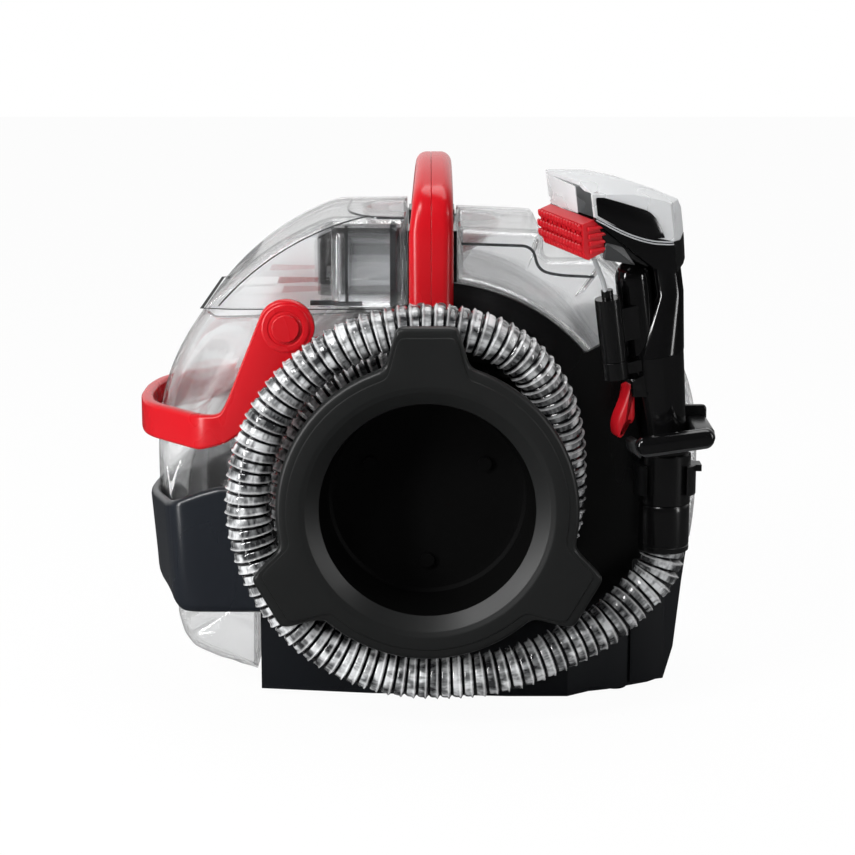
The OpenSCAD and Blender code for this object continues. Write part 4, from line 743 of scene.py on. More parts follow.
profile = np.array(profile, float)
rack_r = np.where(profile[:, :1] + 0 * theta[None] > 0, profile[:, :1], edge_r[None] + profile[:, 1:2])
rack_r[0], rack_r[-1] = 0.01, 0.01
rack_y = np.repeat(profile[:, 2:3], RACK_COLUMNS, 1)
rack = np.stack([rack_r * np.cos(theta), rack_y, CENTRE_Z + rack_r * np.sin(theta)], -1)
rack = new_piece("rack", rack, grid_faces(len(profile), RACK_COLUMNS, around_columns=True), "body",
                 "black_plastic", rack_black, ("hose_rack",), 30)
# Painted shade: the faces inside the dish get the near black finish for the shade in the recess.
second_finish(rack, dish_painted_shade, lambda x, y, z: (np.hypot(x, z - CENTRE_Z) < 64) & (np.abs(y + 108) < 20.8))


def sector(angle, inner, outer, spread):
    """Outline of a piece of a ring."""
    a = np.linspace(-spread, spread, 12) + angle
    ring = np.concatenate([np.stack([outer * np.cos(a), outer * np.sin(a)], -1),
                           np.stack([inner * np.cos(a), inner * np.sin(a)], -1)[::-1]])
    return rounded(ring + (0, CENTRE_Z), 2.5, 3)


for i, angle in enumerate(lug_at):
    plate(f"rack_guide_{i}", sector(angle, 66.3, 92, 0.19), -128.9, -99, 1.2, "body", "black_plastic",
          satin_black)

# %% [markdown]
# ## Belt
# The belt is a wall that wraps the tank's foot. A softened box could give its corners, but not
# its rim, which rises towards the drum and rolls inward. So it is swept: plan along one axis,
# profile along the other.

# %% Belt
BELT_STEPS, BELT_FOOT_Z, PANEL_REACH = 260, 58, 114.8
belt_plan = np.array([(-70, -64), (-160, -64), (-180.4, 5), (-180.4, 39), (-160, 108), (-70, 108)], float)
belt_line = even(rounded(belt_plan, (0.1, 16, 22, 22, 16, 0.1), 14)[13:-13], BELT_STEPS)
belt_in = np.gradient(belt_line, axis=0)
belt_in = np.stack([-belt_in[:, 1], belt_in[:, 0]], -1) / np.linalg.norm(belt_in, axis=1)[:, None]
belt_in *= np.sign(((np.array([-90, MID_Y]) - belt_line) * belt_in).sum(1))[:, None]
belt_rim = np.interp(belt_line[:, 0], [-182, -160, -122, -100, -60], [120, 127, 134, 137, 138])
foot = np.radians(np.linspace(0, 90, 9))
foot_r = 5 + 8 * ease((-150 - belt_line[:, 0]) / 24)
inward_mm = np.concatenate([foot_r[:, None] * (1 - np.sin(foot))[None], np.zeros((BELT_STEPS, 2)),
                            np.tile([0.3, 1.2, 2.4, 3.6, 4.2, 4.2], (BELT_STEPS, 1))], 1)
height = np.concatenate([BELT_FOOT_Z + foot_r[:, None] * (1 - np.cos(foot))[None],
                         (belt_rim - [[40], [3]]).T,
                         belt_rim[:, None] + [[-1.6, -0.4, 0, -0.6, -2.0, -30]]], 1)
drawn_in = 4.5 * (1 - ease((height - BELT_FOOT_Z) / 75))
inward_mm += drawn_in * (1 - ease((belt_line[:, :1] + 172) / 40))
belt = np.concatenate([belt_line[:, None] + belt_in[:, None] * inward_mm[..., None], height[..., None]], -1)

# Both sides are stretched so that their ends stand on the round edge of the panels.
belt_end = -np.sqrt(np.maximum(PANEL_REACH ** 2 - (height - CENTRE_Z) ** 2, 82.0 ** 2))
side_share = np.clip((belt[..., 0] + 160) / 90, 0, None)
belt[..., 0] = np.where(side_share > 0, -160 + side_share * (belt_end + 160), belt[..., 0])
belt = new_piece("belt", belt, grid_faces(*belt.shape[:2]), "body", "belt_plastic", belt_dark,
                 ("tank_belt",), 60, outward=False)
modifier(belt, "SOLIDIFY", thickness=2.2 * MM, offset=0)

# %% [markdown]
# ## Tank shells
# A tank is a thick slice of a round body. Seen from the side it is a strip between an inner
# line, which follows the drum, and an outer line, which follows the round outline. For each
# step along the strip there is a closed loop across the machine, and its half width comes from
# the plan, which closes towards the nose. A Smooth modifier rounds the edges, and Solidify
# gives the wall.

# %% Tank surfaces
HALF_W, BODY_R = 79.0, 175.0
DISH = np.array([4.25, 28.0, 320.0])
DISH_R = 48.0


def tank_half(x, z):
    """Half width: full up to x = 100, then closing on a superellipse at 176.2, and less above z = 254."""
    t = np.clip((np.abs(x) - 100) / 76.2, 0, 1)
    plan = HALF_W * (1 - t**2.6) ** (1 / 2.2)
    return plan - 9 * np.clip((z - 254) / 50, 0, 1) * plan / HALF_W


def line_of(points, spacing):
    """Points along a polyline at a given spacing, corners kept."""
    points = np.asarray(points, float)
    pieces = []
    for a, b in zip(points[:-1], points[1:]):
        count = max(int(np.ceil(np.linalg.norm(b - a) / spacing)), 1)
        pieces.append(a + (b - a) * np.linspace(0, 1, count, endpoint=False)[:, None])
    return np.concatenate(pieces + [points[-1:]])


def arc(radius, start, end, spacing):
    """Part of a circle about the common centre, from one angle to another in degrees."""
    count = max(int(abs(np.radians(end - start)) * radius / spacing), 2)
    a = np.radians(np.linspace(start, end, count))
    return np.stack([radius * np.cos(a), CENTRE_Z + radius * np.sin(a)], -1)


def dished(points):
    """Lowers points that lie inside the hollow for the fingers to its sphere."""
    reach = DISH_R**2 - ((points[..., :2] - DISH[:2]) ** 2).sum(-1)
    floor = DISH[2] - np.sqrt(np.maximum(reach, 0))
    out = points.copy()
    out[..., 2] = np.where(reach > 0, np.minimum(points[..., 2], floor), points[..., 2])
    return out


def across_strip(outer, inner, half, edge, across):
    """Outer face with rounded edges and the inner face under it.

    Across the machine the outer face drops by edge (1 - cos a) where it is edge (1 - sin a) inside
    the half width. The drop is taken towards the inner line.
    """
    slope = np.gradient(outer, axis=0)
    slope /= np.maximum(np.linalg.norm(slope, axis=1), 1e-9)[:, None]
    into = np.stack([slope[:, 1], -slope[:, 0]], -1)
    into *= np.sign(((inner - outer) * into).sum(1))[:, None]
    whole = half(outer[:, 0], outer[:, 1])[:, None]
    room = np.minimum(edge, 0.5 * np.linalg.norm(inner - outer, axis=1))[:, None]
    room = np.minimum(room, whole * 0.9)
    a = np.linspace(0, np.pi / 2, 9)
    left = -(whole - room) - room * np.sin(a[::-1])[None]
    middle = (whole - room) * np.linspace(-1, 1, across)[None, 1:-1]
    width = np.concatenate([left, middle, -left[:, ::-1]], 1)
    drop = room * (1 - np.cos(a))[None]
    drop = np.concatenate([drop[:, ::-1], np.zeros_like(middle), drop], 1)
    top = outer[:, None] + into[:, None] * drop[..., None]
    top = np.stack([top[..., 0], MID_Y + width, top[..., 1]], -1)
    under = np.stack([np.repeat(inner[:, :1], width.shape[1], 1),
                      MID_Y + half(inner[:, 0], inner[:, 1])[:, None] * width / np.maximum(whole, 1e-6),
                      np.repeat(inner[:, 1:], width.shape[1], 1)], -1)
    return dished(top), under, room


def tank_strip(outer, inner, half, edge=9, across=72, deep=14, start_cap=True, end_cap=True,
               inner_wall=True, recess=None):
    """Patches of a tank: outer face, inner face, two sides and the ends."""
    top, under, room = across_strip(outer, inner, half, edge, across)
    q = np.linspace(0, 1, deep)
    patches = [top] + ([under] if inner_wall else [])
    for side, sign in ((0, -1), (-1, 1)):
        p = under[:, None, side] + (top[:, None, side] - under[:, None, side]) * q[None, :, None]
        wide, at_top = half(p[..., 0], p[..., 2]), np.abs(top[:, None, side, 1] - MID_Y)
        if recess:
            wide = wide - recess(q, np.linalg.norm(outer - inner, axis=1) - room[:, 0])
            p[..., 1] = MID_Y + sign * np.minimum(wide, at_top)
        else:
            blend = ease(q)[None, :]
            p[..., 1] = MID_Y + sign * (wide * (1 - blend) + at_top * blend)
        patches.append(p)
    for wanted, row in ((start_cap, 0), (end_cap, -1)):
        if wanted:
            patches.append(under[row][None] + (top[row] - under[row])[None] * q[:, None, None])
    points, faces, count = [], [], 0
    for patch in patches:
        faces += grid_faces(*patch.shape[:2], start=count)
        points.append(patch.reshape(-1, 3))
        count += points[-1].shape[0]
    return np.concatenate(points), faces


def tank_shell(name, points, faces, body, node, factor=0.5, iterations=3, wall=2.8):
    """A tank's shell: clear, milky on the far side, smoothed and given a wall."""
    shell = new_piece(name, points, faces, body, "clear_plastic", tank_clear, (node,), 180)
    second_finish(shell, tank_milky, lambda x, y, z: y > MID_Y + 52)
    modifier(shell, "SMOOTH", factor=factor, iterations=iterations)
    modifier(shell, "SOLIDIFY", thickness=wall * MM, offset=-1)

# %% [markdown]
# ## Clean tank
# Its outer line starts at the shelf, follows the round outline up to the rest for the brush,
# steps up to the flat top and ends at the spine. A grip lip is pushed out of the nose where a
# hand pulls the tank off. It could be a piece of its own, but clear plastic would show its joint.

# %% Clean tank
outer = np.concatenate([arc(BODY_R, -15.41, 53.13, 2.4),
                        line_of([(104, 279), (76, 279), (73, 279.6), (71.6, 281.5), (71, 284), (71, 290),
                                 (70.3, 293.5), (68, 295.6), (64, 296), (19, 298)], 1.8)])
turn_of = np.degrees(np.arctan2(outer[:, 1] - CENTRE_Z, outer[:, 0]))

# The outer line ends at 83.2 degrees and the inner one at 81.5, both at the spine.
above = np.clip(turn_of, 0, None) * 81.5 / 83.2
inner_z = np.where(turn_of > 0, CENTRE_Z + 129 * np.sin(np.radians(above)),
                   CENTRE_Z + np.clip(turn_of, -15.41, 0) * 46.5 / 15.41)
inner = np.stack([129 * np.cos(np.radians(above)), inner_z], -1)
points, faces = tank_strip(outer, inner, tank_half, edge=6)
lip = np.clip(1 - ((points[:, 2] - 162) / 8.5) ** 4, 0, 1) * ease((43 - np.abs(points[:, 1] - MID_Y)) / 6)
points[:, 0] += 6.0 * lip * ease((points[:, 0] - 152) / 12)
points[:, 0] = np.minimum(points[:, 0], 180.8)
tank_shell("clean_tank_shell", points, faces, "clean_tank", "clean_tank")

# %% [markdown]
# ## Dirty tank
# The dirty tank runs from its sump, which shows below the belt, up to the joint with the lid,
# where it is open. The sump could be a body of its own, but then a seam would show. Here it is
# the same strip, whose half width becomes smaller there.

# %% Dirty tank
sump_line = line_of([(-118, 17), (-132, 20.5), (-149, 28), (-156, 35), (-161, 46), (-162.5, 56)], 2.4)
outer = np.concatenate([sump_line, arc(BODY_R, 180 + 25.6, 180 - 38.5, 2.4)])
inner = even(np.concatenate([line_of([(-108, 15), (-107.5, 58), (-107, 139)], 2.6),
                             arc(107, 180, 97.25, 2.6), [(-13.5, 248)]]), len(outer))


def dirty_half(x, z):
    """The tank's half width; in the sump 12 mm less, with a nose of its own."""
    t = np.clip((np.abs(x) - 138) / 27, 0, 1)
    sump = (HALF_W - 12) * (1 - t**3) ** (1 / 3)
    below = 1 - ease((z - 54) / 6)
    return tank_half(x, z) * (1 - below) + sump * below


points, faces = tank_strip(outer, inner, dirty_half, end_cap=False)
tank_shell("dirty_tank_shell", points, faces, "dirty_tank", "dirty_tank")

# %% [markdown]
# ## Lid
# The lid is the rest of the round outline, open below. A shallow groove follows its edge, as on
# a real moulding. It could be cut with a Boolean, but a small dip in the strip's half width
# gives the same groove. The inlet column hangs in the lid, with two smoky walls and a rail.

# %% Lid
LID_END_X = -13.5
outer = np.concatenate([arc(BODY_R, 180 - 38.69, 112.5, 2.0), [(-62, 302.4)],
                        line_of([(-56, 303.7), (LID_END_X, 304)], 1.6)])
inner = np.stack([np.linspace(outer[0, 0], LID_END_X, len(outer)), np.full(len(outer), 248.4)], -1)


def lid_recess(q, width):
    """A groove 1.1 mm deep, 6 mm below the rounded edge, with the profile of a bell curve."""
    below = (1 - q)[None] * np.maximum(width, 1)[:, None]
    return 1.1 * np.exp(-(((below - 6) / 1.3) ** 2))


points, faces = tank_strip(outer, inner, tank_half, deep=60, start_cap=False, inner_wall=False,
                           recess=lid_recess)
tank_shell("lid_shell", points, faces, "lid", "tank_lid", factor=0.4, iterations=1, wall=2.6)

# %% Inlet column
column_plan = rounded_box(-57.5, -53.5, -16.5, -21, 5)
column_rows = np.array([250.0, 262, 275, 288, 298])
column_size = (len(column_rows), len(column_plan))
column = np.concatenate([np.broadcast_to(column_plan, (*column_size, 2)),
                         np.broadcast_to(column_rows[:, None, None], (*column_size, 1))], -1)
column = new_piece("lid_column", column, grid_faces(*column_size, around_columns=True), "lid",
                   "clear_plastic", column_clear)
modifier(column, "SOLIDIFY", thickness=3.0 * MM, offset=0)
for name, far_y, corners in (("column_wall_left", -24, (-50.4, 252, -48.8, 299)),
                             ("column_wall_right", -24, (-23.0, 251, -19.2, 300)),
                             ("lid_rail_upper", -50.5, (-72, 250.2, -40, 253.2))):
    plate(name, rounded_box(*corners, 0.4, 3), -53.2, far_y, 0.3, "lid", "clear_plastic", column_dark)

# %% [markdown]
# ## Dark edges in the clear plastic
# Clear plastic shows its edges as dark lines, because light that enters there is led away. The
# walls' refraction gives most of them. The strongest ones are drawn as thin smoky beads: the rim
# under the clean tank's top, the lid's shoulder and the curve round the inlet column.

# %% Edge beads
def on_near_side(line, out=0.2):
    """Lifts a line of (x, z) onto the tank's near side."""
    line = np.asarray(line, float)
    return np.stack([line[:, 0], MID_Y - tank_half(line[:, 0], line[:, 1]) - out, line[:, 1]], -1)


rim = rounded([(20.5, 288), (64.5, 286.5), (67.5, 272), (80, 269), (102, 268)], (0.1, 7, 8, 7, 0.1), 8)[7:-7]
tube("clean_rim_bead", on_near_side(even(rim, 60)), 0.9, 10, "clean_tank", "clear_plastic", column_dark)
tube("lid_shoulder_bead", on_near_side(arc(169.5, 139, 102, 3.0), 0.1), 0.45, 8, "lid", "clear_plastic",
     column_dark)
curve = [(-50, 60, 303.6), (-50.5, 20, 303.8), (-49, -10, 303.8), (-44, -29, 303.6), (-35, -41, 303.2),
         (-24, -45.5, 303), (-14.5, -46.5, 303)]
tube("lid_curve_bead", smooth_curve(np.array(curve, float), 8), 0.8, 10, "lid", "clear_plastic", column_dark)

# %% [markdown]
# ## Bail
# The bail is one bent moulding: two flat arms and a bar that runs round the nose. The arms
# leave their round ends on two tangents and turn into the bar on a large curve. Arms and bar
# could be separate plates, but one sweep along the plan leaves no seam: its section is 8 mm
# thick everywhere and reaches from the lower outline to the upper one. Each arm ends in a
# raised disc with ring grooves, which is a profile turned about the pin.

# %% Bail helpers
def turned_disc(name, x, z, profile, *place, sides=72):
    """A profile of (radius, y) turned about an axis along Y through x and z."""
    r, y = np.array(profile, float).T
    a = np.linspace(0, 2 * np.pi, sides, endpoint=False)
    depths = np.repeat(y[:, None], sides, 1)
    points = np.stack([x + r[:, None] * np.cos(a), depths, z + r[:, None] * np.sin(a)], -1)
    return new_piece(name, points, grid_faces(len(r), sides, around_columns=True), *place)


def curve_round(x, z, radius, start, end, count):
    """Points of a circle's arc, in degrees."""
    a = np.radians(np.linspace(start, end, count))
    return np.stack([x + radius * np.cos(a), z + radius * np.sin(a)], -1)


# %% Bail
BAIL_X, BAIL_Z, BAIL_END_R, BAR_LOW, BAR_TOP = -86.0, 239.0, 17.5, 163.0, 185.0
BAIL_FACE, BAIL_T, BAIL_EDGE, BAR_START = -73.0, 8.0, 2.6, -139
upper_bends = [(-100.5, 248.4), (-124.5, 189.0), (-128.5, BAR_TOP), (BAR_START, BAR_TOP)]
lower_bends = [(-71.8, 228.7), (-116.2, 169.5), (BAR_START, BAR_LOW)]
upper = np.concatenate([curve_round(BAIL_X, BAIL_Z, BAIL_END_R, 0, 147, 40),
                        rounded(upper_bends, (3, 14, 9, 0.1), 6)[6:-6], [(BAR_START, BAR_TOP)]])
lower = np.concatenate([curve_round(BAIL_X, BAIL_Z, BAIL_END_R, 0, -36, 16),
                        rounded(lower_bends, (0.1, 22, 0.1), 12)[12:-12], [(BAR_START, BAR_LOW)]])
arm_y = BAIL_FACE + BAIL_T / 2
half_plan = [(-68.5, arm_y), (-138.5, arm_y), (-175.6, -24.8), (-181, 5), (-181, MID_Y)]
plan = np.array(half_plan + [(x, 2 * MID_Y - y) for x, y in half_plan[-2::-1]], float)
bends = rounded(plan, (0.1, 8, 14, 12, 0.1, 12, 14, 8, 0.1), 9)[8:-8]
length = lengths_along(bends)[-1]
from_end = np.concatenate([[0, 0.15, 0.5, 1.0], np.linspace(1.8, 500, 520)])
from_end = from_end[from_end < length / 2]
bar_path = at_lengths(bends, np.concatenate([from_end, length - from_end[::-1]]))
across = np.gradient(bar_path, axis=0)
across = np.stack([across[:, 1], -across[:, 0]], -1) / np.linalg.norm(across, axis=1)[:, None]
high = np.interp(-bar_path[:, 0], -upper[:, 0], upper[:, 1])
low = np.interp(-bar_path[:, 0], -lower[:, 0], lower[:, 1])
turn_a = np.radians(np.arange(0, 91, 15))
corner_r = np.minimum(BAIL_EDGE, (high - low) / 2 + 0.001)[:, None]
side_off, depth_in = BAIL_T / 2 - BAIL_EDGE + BAIL_EDGE * np.sin(turn_a), 1 - np.cos(turn_a)
top_ring = np.concatenate([side_off[::-1], -side_off])
top_drop = np.concatenate([depth_in[::-1], depth_in])
ring_a = np.concatenate([top_ring, top_ring[::-1]])[None] + 0 * high[:, None]
ring_z = np.concatenate([high[:, None] - corner_r * top_drop, low[:, None] + corner_r * top_drop[::-1]], 1)
ring_x, ring_y = (bar_path[:, i:i + 1] + across[:, i:i + 1] * ring_a for i in (0, 1))
bar = np.stack([ring_x, ring_y, ring_z], -1)
new_piece("bail_bar", bar, closed_grid(*ring_a.shape), "bail", "red_plastic", satin_red, ("bail",), 50)

steps_out = [(3.0, -0.5), (3.0, 0.9), (9.4, 0.9), (9.9, 0.5), (10.6, 0.5), (11.1, 0.9), (13.4, 0.9),
             (14.4, 0.7), (15.0, 0.1), (15.1, -0.5), (3.0, -0.5)]
for name, face, sign in (("bail_disc_near", BAIL_FACE, -1), ("bail_disc_far", 2 * MID_Y - BAIL_FACE, 1)):
    disc = [(r, face + sign * h) for r, h in steps_out]
    turned_disc(name, BAIL_X, BAIL_Z, disc, "bail", "red_plastic", satin_red)
softened("bail_pins", 0.8, satin_red)

# %% [markdown]
# ## Wand and tool
# The CAD shells of the wand, the grip and the tool already lean as they should, and their
# shapes are right. So they are softened copies, and only what the CAD draws plainly is added.

# %% Wand and tool
softened("wand_stem", 1.0, wand_black)
softened("wand_rest", 1.4, satin_black)
softened("hose_elbow", 1.2, satin_black)
softened("grip_front", 1.0, wand_black)
softened("grip_back", 1.0, gloss_black)
softened("spray_valve", 0.8, wand_black)
softened("spray_barrel", 0.9, wand_black)
softened("tool_neck", 2.0, gloss_black)
softened("tool_head", 2.2, gloss_black)
softened("tool_window", 1.6, window_frosted)
softened("brush_bracket", 1.0, satin_black)
print("wand softened")

# %% [markdown]
# ## Pieces in the wand's own frame
# The wand leans and is turned, so what is added to it is drawn upright and then turned into
# place with one matrix: u points from the grip's front to its back, v to the far side, w up.
# The points could be given at their slant at once, but then no length could be read off them.

# %% Wand frame
def turning(axis, degrees):
    """Matrix that turns about one axis."""
    c, s = np.cos(np.radians(degrees)), np.sin(np.radians(degrees))
    i, j = [(1, 2), (2, 0), (0, 1)][axis]
    matrix = np.eye(3)
    matrix[i, i], matrix[i, j], matrix[j, i], matrix[j, j] = c, -s, s, c
    return matrix


WAND_TURN = turning(0, 6.5) @ turning(1, -7.5) @ turning(2, 21)
WAND_AT = np.array([143.3, -83, 172])


def to_wand(points):
    """From the wand's own frame to the machine's."""
    return np.asarray(points, float) @ WAND_TURN.T + WAND_AT


# %% [markdown]
# ## Trigger and side panels
# The trigger is a curved lever of even thickness, and the tool's window has a black panel on
# either side with two fine seams under it. Such parts could be cut from the shells. As flat
# plates and thin tubes they stay pieces of their own, each with its finish.

# %% Trigger and panels
lever = [(-18.3, 41.8), (-17.8, 34.7), (-19.2, 19.9), (-21.9, 16.7), (-25.0, 18.1), (-26.9, 13.5),
         (-29.7, 9.1), (-32.1, 11.5), (-32.1, 17.3), (-30.6, 22.0), (-24.9, 31.3), (-20.6, 39.8)]
plate("trigger_lever", rounded(lever, 3.5, 5), -6.4, 6.4, 3.0, "trigger", "red_plastic", deep_red,
      ("trigger",), turned=to_wand)
stop = [(-23.5, 6), (-18.5, 6.5), (-16.5, -3), (-18.5, -6.5), (-22.5, -1.5)]
plate("trigger_stop", rounded(stop, 1.2, 4), -5, 5, 0.8, NODES["grip_front"]["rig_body"], "black_plastic",
      mid_grey, turned=to_wand)

panel = [(-41.2, 153.6), (-41.2, 164.3), (-36, 163.2), (-21.7, 156.4), (-7.9, 149.4), (-3.1, 141),
         (-0.8, 132.4), (-10.3, 133.9), (-25.4, 141.6)]
panel_outline = rounded(panel, (0.5, 1.5, 2, 8, 5, 4, 1, 4, 6), 6)
for name, low, high in (("side_panel_near", -32.5, -31.8), ("side_panel_far", 31.8, 32.5)):
    plate(name, panel_outline, low, high, 0.2, "tool", "gloss_black", gloss_black, turned=to_wand)
seam_line = [(-42.3, 152.9), (-25.4, 140.3), (-10.3, 132.4), (1.5, 129.4), (4.5, 129)]
seam_line = rounded(seam_line, (0.1, 10, 10, 2, 0.1), 7)[6:-6]
for side, side_v in (("near", -32.1), ("far", 32.1)):
    for number, drop in enumerate((0.0, 1.5)):
        path = np.stack([seam_line[:, 0], np.full(len(seam_line), side_v), seam_line[:, 1] - drop], -1)
        tube(f"window_seam_{side}_{number}", to_wand(path), 0.42, 8, "tool", "clear_plastic", pale_grey)
cheek = [(-37.6, 137.0), (-27.2, 132.2), (-20.8, 120.2), (-40.2, 127.6)]
plate("bracket_cheek", rounded(cheek, 1.2, 4), -31.8, -29.6, 0.5, "tool", "grey_plastic", mid_grey,
      turned=to_wand)

# %% [markdown]
# ## Brush
# The brush's back is a softened copy. Its tufts are short oval stubs in four rows, with four
# narrow ones at its end. An array of copies would do too. Here a stub is three rings of points,
# and all go into one mesh. Two more pieces follow: a frosted pane in the tool's mouth and the
# thin tube that brings the solution.

# %% Brush and spray tube
softened("brush", 1.0, deep_red)
tuft_ring = np.linspace(0, 2 * np.pi, 8, endpoint=False)
tufts, tuft_faces = [], []

# Each ring of a stub: how far out it stands, its half width and its half height.
STUB = ((1.0, 1.3, 2.4), (-1.6, 1.25, 2.4), (-2.4, 0.6, 1.6))
for u, w in ((-50.0, 147.2), (-51.2, 141.6), (-51.3, 136.0), (-48.6, 131.0)):
    for v in np.linspace(-28, 28, 15):
        rings = [np.stack([u + out + 0 * tuft_ring, v + wide * np.cos(tuft_ring),
                           w - 0.5 * out + tall * np.sin(tuft_ring)], -1) for out, wide, tall in STUB]
        tuft_faces += closed_grid(len(STUB), len(tuft_ring), len(tufts) * len(STUB) * len(tuft_ring))
        tufts.append(np.concatenate(rings))
new_piece("brush_tufts", to_wand(np.concatenate(tufts)), tuft_faces, "tool", "red_plastic", deep_red)
for i, w in enumerate((133.6, 138.0, 142.4, 146.6)):
    end_tuft = [(-47.5, w - 1.5), (-36.6 - 0.9 * (i % 2), w - 1.0), (-38.2, w + 1.0), (-47.5, w + 1.5)]
    plate(f"brush_end_tuft_{i}", rounded(end_tuft, 0.8, 3), -31.4, -29.5, 0.6, "tool", "red_plastic",
          deep_red, turned=to_wand)


def mouth_turn(points):
    """Stands a plate drawn in v and w across the tool's mouth."""
    return to_wand(points[:, [1, 0, 2]])


pane = [(-8, 151.5), (30, 151.5), (30, 169.5), (-8, 167.5)]
plate("mouth_pane", rounded(pane, 1.5, 4), -42.9, -42.0, 0.3, "tool", "clear_plastic", window_frosted,
      turned=mouth_turn)

spray_path = np.array([(-31.6, -9.5, 103), (-33.5, -11.5, 110), (-39, -18, 121), (-43, -24, 128)], float)
tube("spray_tube", to_wand(smooth_curve(spray_path, 6)), 1.45, 12, "tool", "hose_plastic", pale_grey,
     ("spray_line",))

# %% [markdown]
# ## Cuff
# The cuff is the round part that holds the hose's end under the wand. Anything round can be a
# profile turned about an axis, and then its small rims cost nothing more than a few points.

# %% Cuff
def turned_up(name, x, y, profile, *place, sides=64):
    """A closed profile of (radius, z) turned about an upright axis through x and y."""
    r, z = np.array(profile, float).T
    a = np.linspace(0, 2 * np.pi, sides, endpoint=False)
    heights = np.repeat(z[:, None], sides, 1)
    points = np.stack([x + r[:, None] * np.cos(a), y + r[:, None] * np.sin(a), heights], -1)
    return new_piece(name, points, grid_faces(len(r), sides, True, True), *place)


cuff = [(14.2, 103.8), (15.2, 104.6), (15.4, 106), (15.4, 107.4), (15.0, 107.8), (15.0, 108.4),
        (15.4, 108.9), (15.4, 130), (15.2, 132.4), (14.6, 133.6), (14.2, 134), (14.1, 120)]
turned_up("cuff", STEM_X, STEM_Y, cuff, "body", "black_plastic", wand_black, ("hose_cuff",))

# %% [markdown]
# ## Hook
# The hook is a bar with round ends, which leans up to the right and stands off the panel on a
# short arm, so that the wand can be pushed in behind it. A lip runs along its lower edge, and its
# grey is a painted highlight. All four parts are flat, so they are plates with rounded edges.

# %% Hook
def capsule(start, end, radius, count=14):
    """Outline of a bar with round ends."""
    (x0, z0), (x1, z1) = start, end
    lean = np.degrees(np.arctan2(z1 - z0, x1 - x0))
    return np.concatenate([curve_round(x1, z1, radius, lean - 90, lean + 90, count),
                           curve_round(x0, z0, radius, lean + 90, lean + 270, count)])


plate("hook_bar", capsule((128.6, 175.2), (165.2, 180.4), 5.3), -118.7, -108.5, 3.6, "body", "gloss_black",
      gloss_black, ("tool_hook",))
# Painted highlight: the lip is grey where the bar's lower edge catches the light.
plate("hook_lip_highlight", capsule((130.2, 173.6), (164.6, 178.6), 5.4), -115.4, -107.3, 1.4, "body", "gloss_black",
      mid_grey)
hook_arm = [(158, 172), (171, 174), (171, 184.5), (158, 184.5)]
plate("hook_arm", rounded(hook_arm, 3, 5), -109, -64.2, 1.5, "body", "gloss_black", satin_black)
plate("hook_foot", rounded_box(151, 167, 171, 191, 3, 5), -68, -64.2, 1.0, "body", "gloss_black", satin_black)

# %% [markdown]
# ## Floor
# The machine stands on a white floor. A plain white plane would turn grey away from the lamps,
# so the camera sees it mostly as a light of its own, with some plain diffuse left for the
# shadow. Gloss sees it dark, which keeps the black plastic deep.

# %% Floor
FLOOR_HALF, FLOOR_Z = 6, -0.0002


def seen_directly(ray):
    """1 for the camera's rays and for those that pass through clear plastic, otherwise 0."""
    return ray.other("Is Camera Ray").maths("MAXIMUM", ray.other("Is Transmission Ray"))


def plain_floor():
    """White floor: plain diffuse for light, mostly glow to the camera and through clear plastic."""
    made = bpy.data.materials.new("floor")
    made.use_nodes = True
    made.node_tree.nodes.clear()
    graph = Graph(made.node_tree)
    ray = graph.node("LightPath")
    mirrored = {0: ray.other("Is Glossy Ray"), 6: (0.8, 0.8, 0.8, 1), 7: (0.07, 0.07, 0.07, 1)}
    shade = graph.node("Mix", {"data_type": "RGBA"}, mirrored, output=2)
    plain = graph.node("BsdfDiffuse", {}, {"Color": shade})
    glow = graph.node("Emission", {}, {"Color": (1, 1, 1, 1), "Strength": 1.0})
    both = graph.node("MixShader", {}, {0: seen_directly(ray) * 0.965, 1: plain, 2: glow})
    out = graph.tree.nodes.new("ShaderNodeOutputMaterial")
    graph.tree.links.new(both.socket, out.inputs["Surface"])
    return made


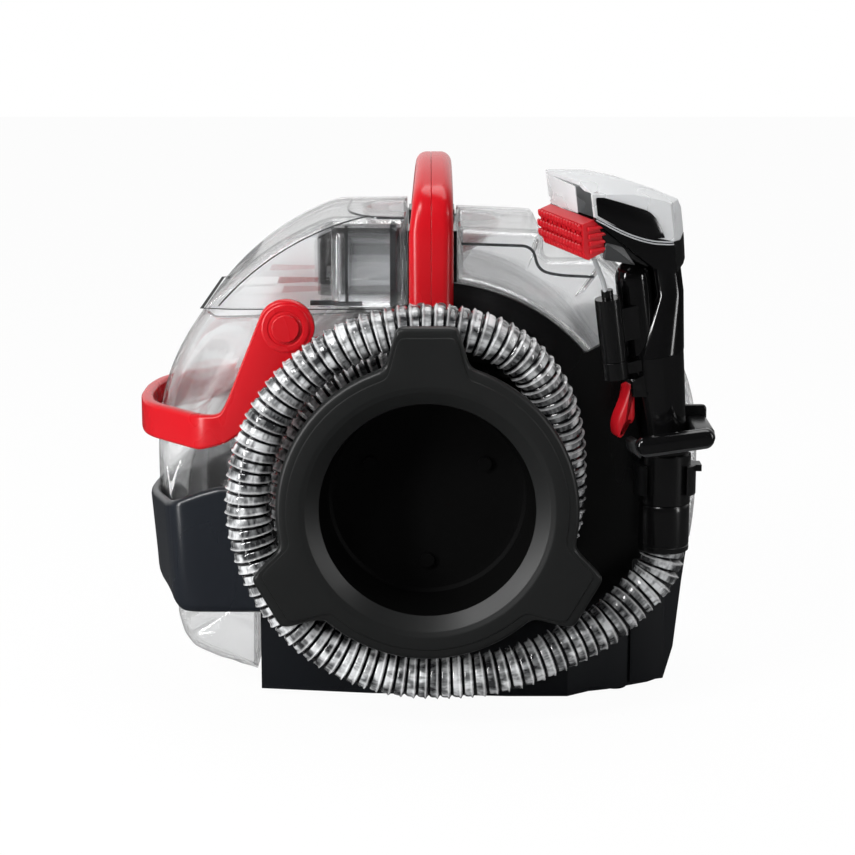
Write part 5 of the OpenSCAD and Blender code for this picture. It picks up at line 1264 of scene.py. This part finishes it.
floor_mesh = bpy.data.meshes.new("floor")
floor_corners = [(x * FLOOR_HALF, y * FLOOR_HALF, FLOOR_Z) for x, y in ((-1, -1), (1, -1), (1, 1), (-1, 1))]
floor_mesh.from_pydata(floor_corners, [], [(0, 1, 2, 3)])
floor_mesh.materials.append(plain_floor())
floor = bpy.data.objects.new("floor", floor_mesh)
bpy.context.scene.collection.objects.link(floor)
print("floor in place")

# %% [markdown]
# ## Sky and lamps
# The light is soft: a large lamp over the machine, two tall ones at the front corners whose
# reflections run down the black parts, and a dim sky. The sky is white for the camera and
# through clear plastic. Other rays find it darker in front, and lighter above and behind. A
# picture of a room could light it too, but it would have to be loaded from a file.

# %% Sky and lamps
def sky():
    """White to the camera and through clear plastic; otherwise 0.05 + 0.8 y + 0.22 z, at least 0.03."""
    world = bpy.data.worlds.new("sky")
    bpy.context.scene.world = world
    world.use_nodes = True
    graph = Graph(world.node_tree)
    direction = graph.node("SeparateXYZ", {}, {0: graph.node("TexCoord", output="Generated")})
    light = 0.05 + direction.other("Y") * 0.8 + direction.other("Z") * 0.22
    level = light.maths("MAXIMUM", 0.03).maths("MAXIMUM", seen_directly(graph.node("LightPath")))
    background = graph.tree.nodes["Background"]
    background.inputs["Color"].default_value = (1, 1, 1, 1)
    graph.tree.links.new(level.socket, background.inputs["Strength"])


def lamp(name, place, aim, size, power):
    """A rectangular lamp of a size in metres at a place, turned towards aim."""
    data = bpy.data.lights.new(name, "AREA")
    data.shape, data.size, data.size_y, data.energy = "RECTANGLE", size[0], size[1], power
    made = bpy.data.objects.new(name, data)
    made.location = place
    made.rotation_euler = (Vector(aim) - Vector(place)).to_track_quat("-Z", "Y").to_euler()
    bpy.context.scene.collection.objects.link(made)


sky()
lamp("lamp_key", (-0.75, -1.15, 1.35), (0, 0, 0.15), (0.5, 0.5), 15)
lamp("lamp_top", (0.2, 0.15, 1.5), (0, 0, 0.2), (1.4, 0.7), 10)
lamp("lamp_left", (-1.05, -0.85, 0.45), (0.05, 0, 0.17), (0.13, 1.1), 17)
lamp("lamp_right", (1.25, -0.7, 0.5), (0, 0, 0.15), (0.14, 1.0), 6)
print("sky and lamps in place")
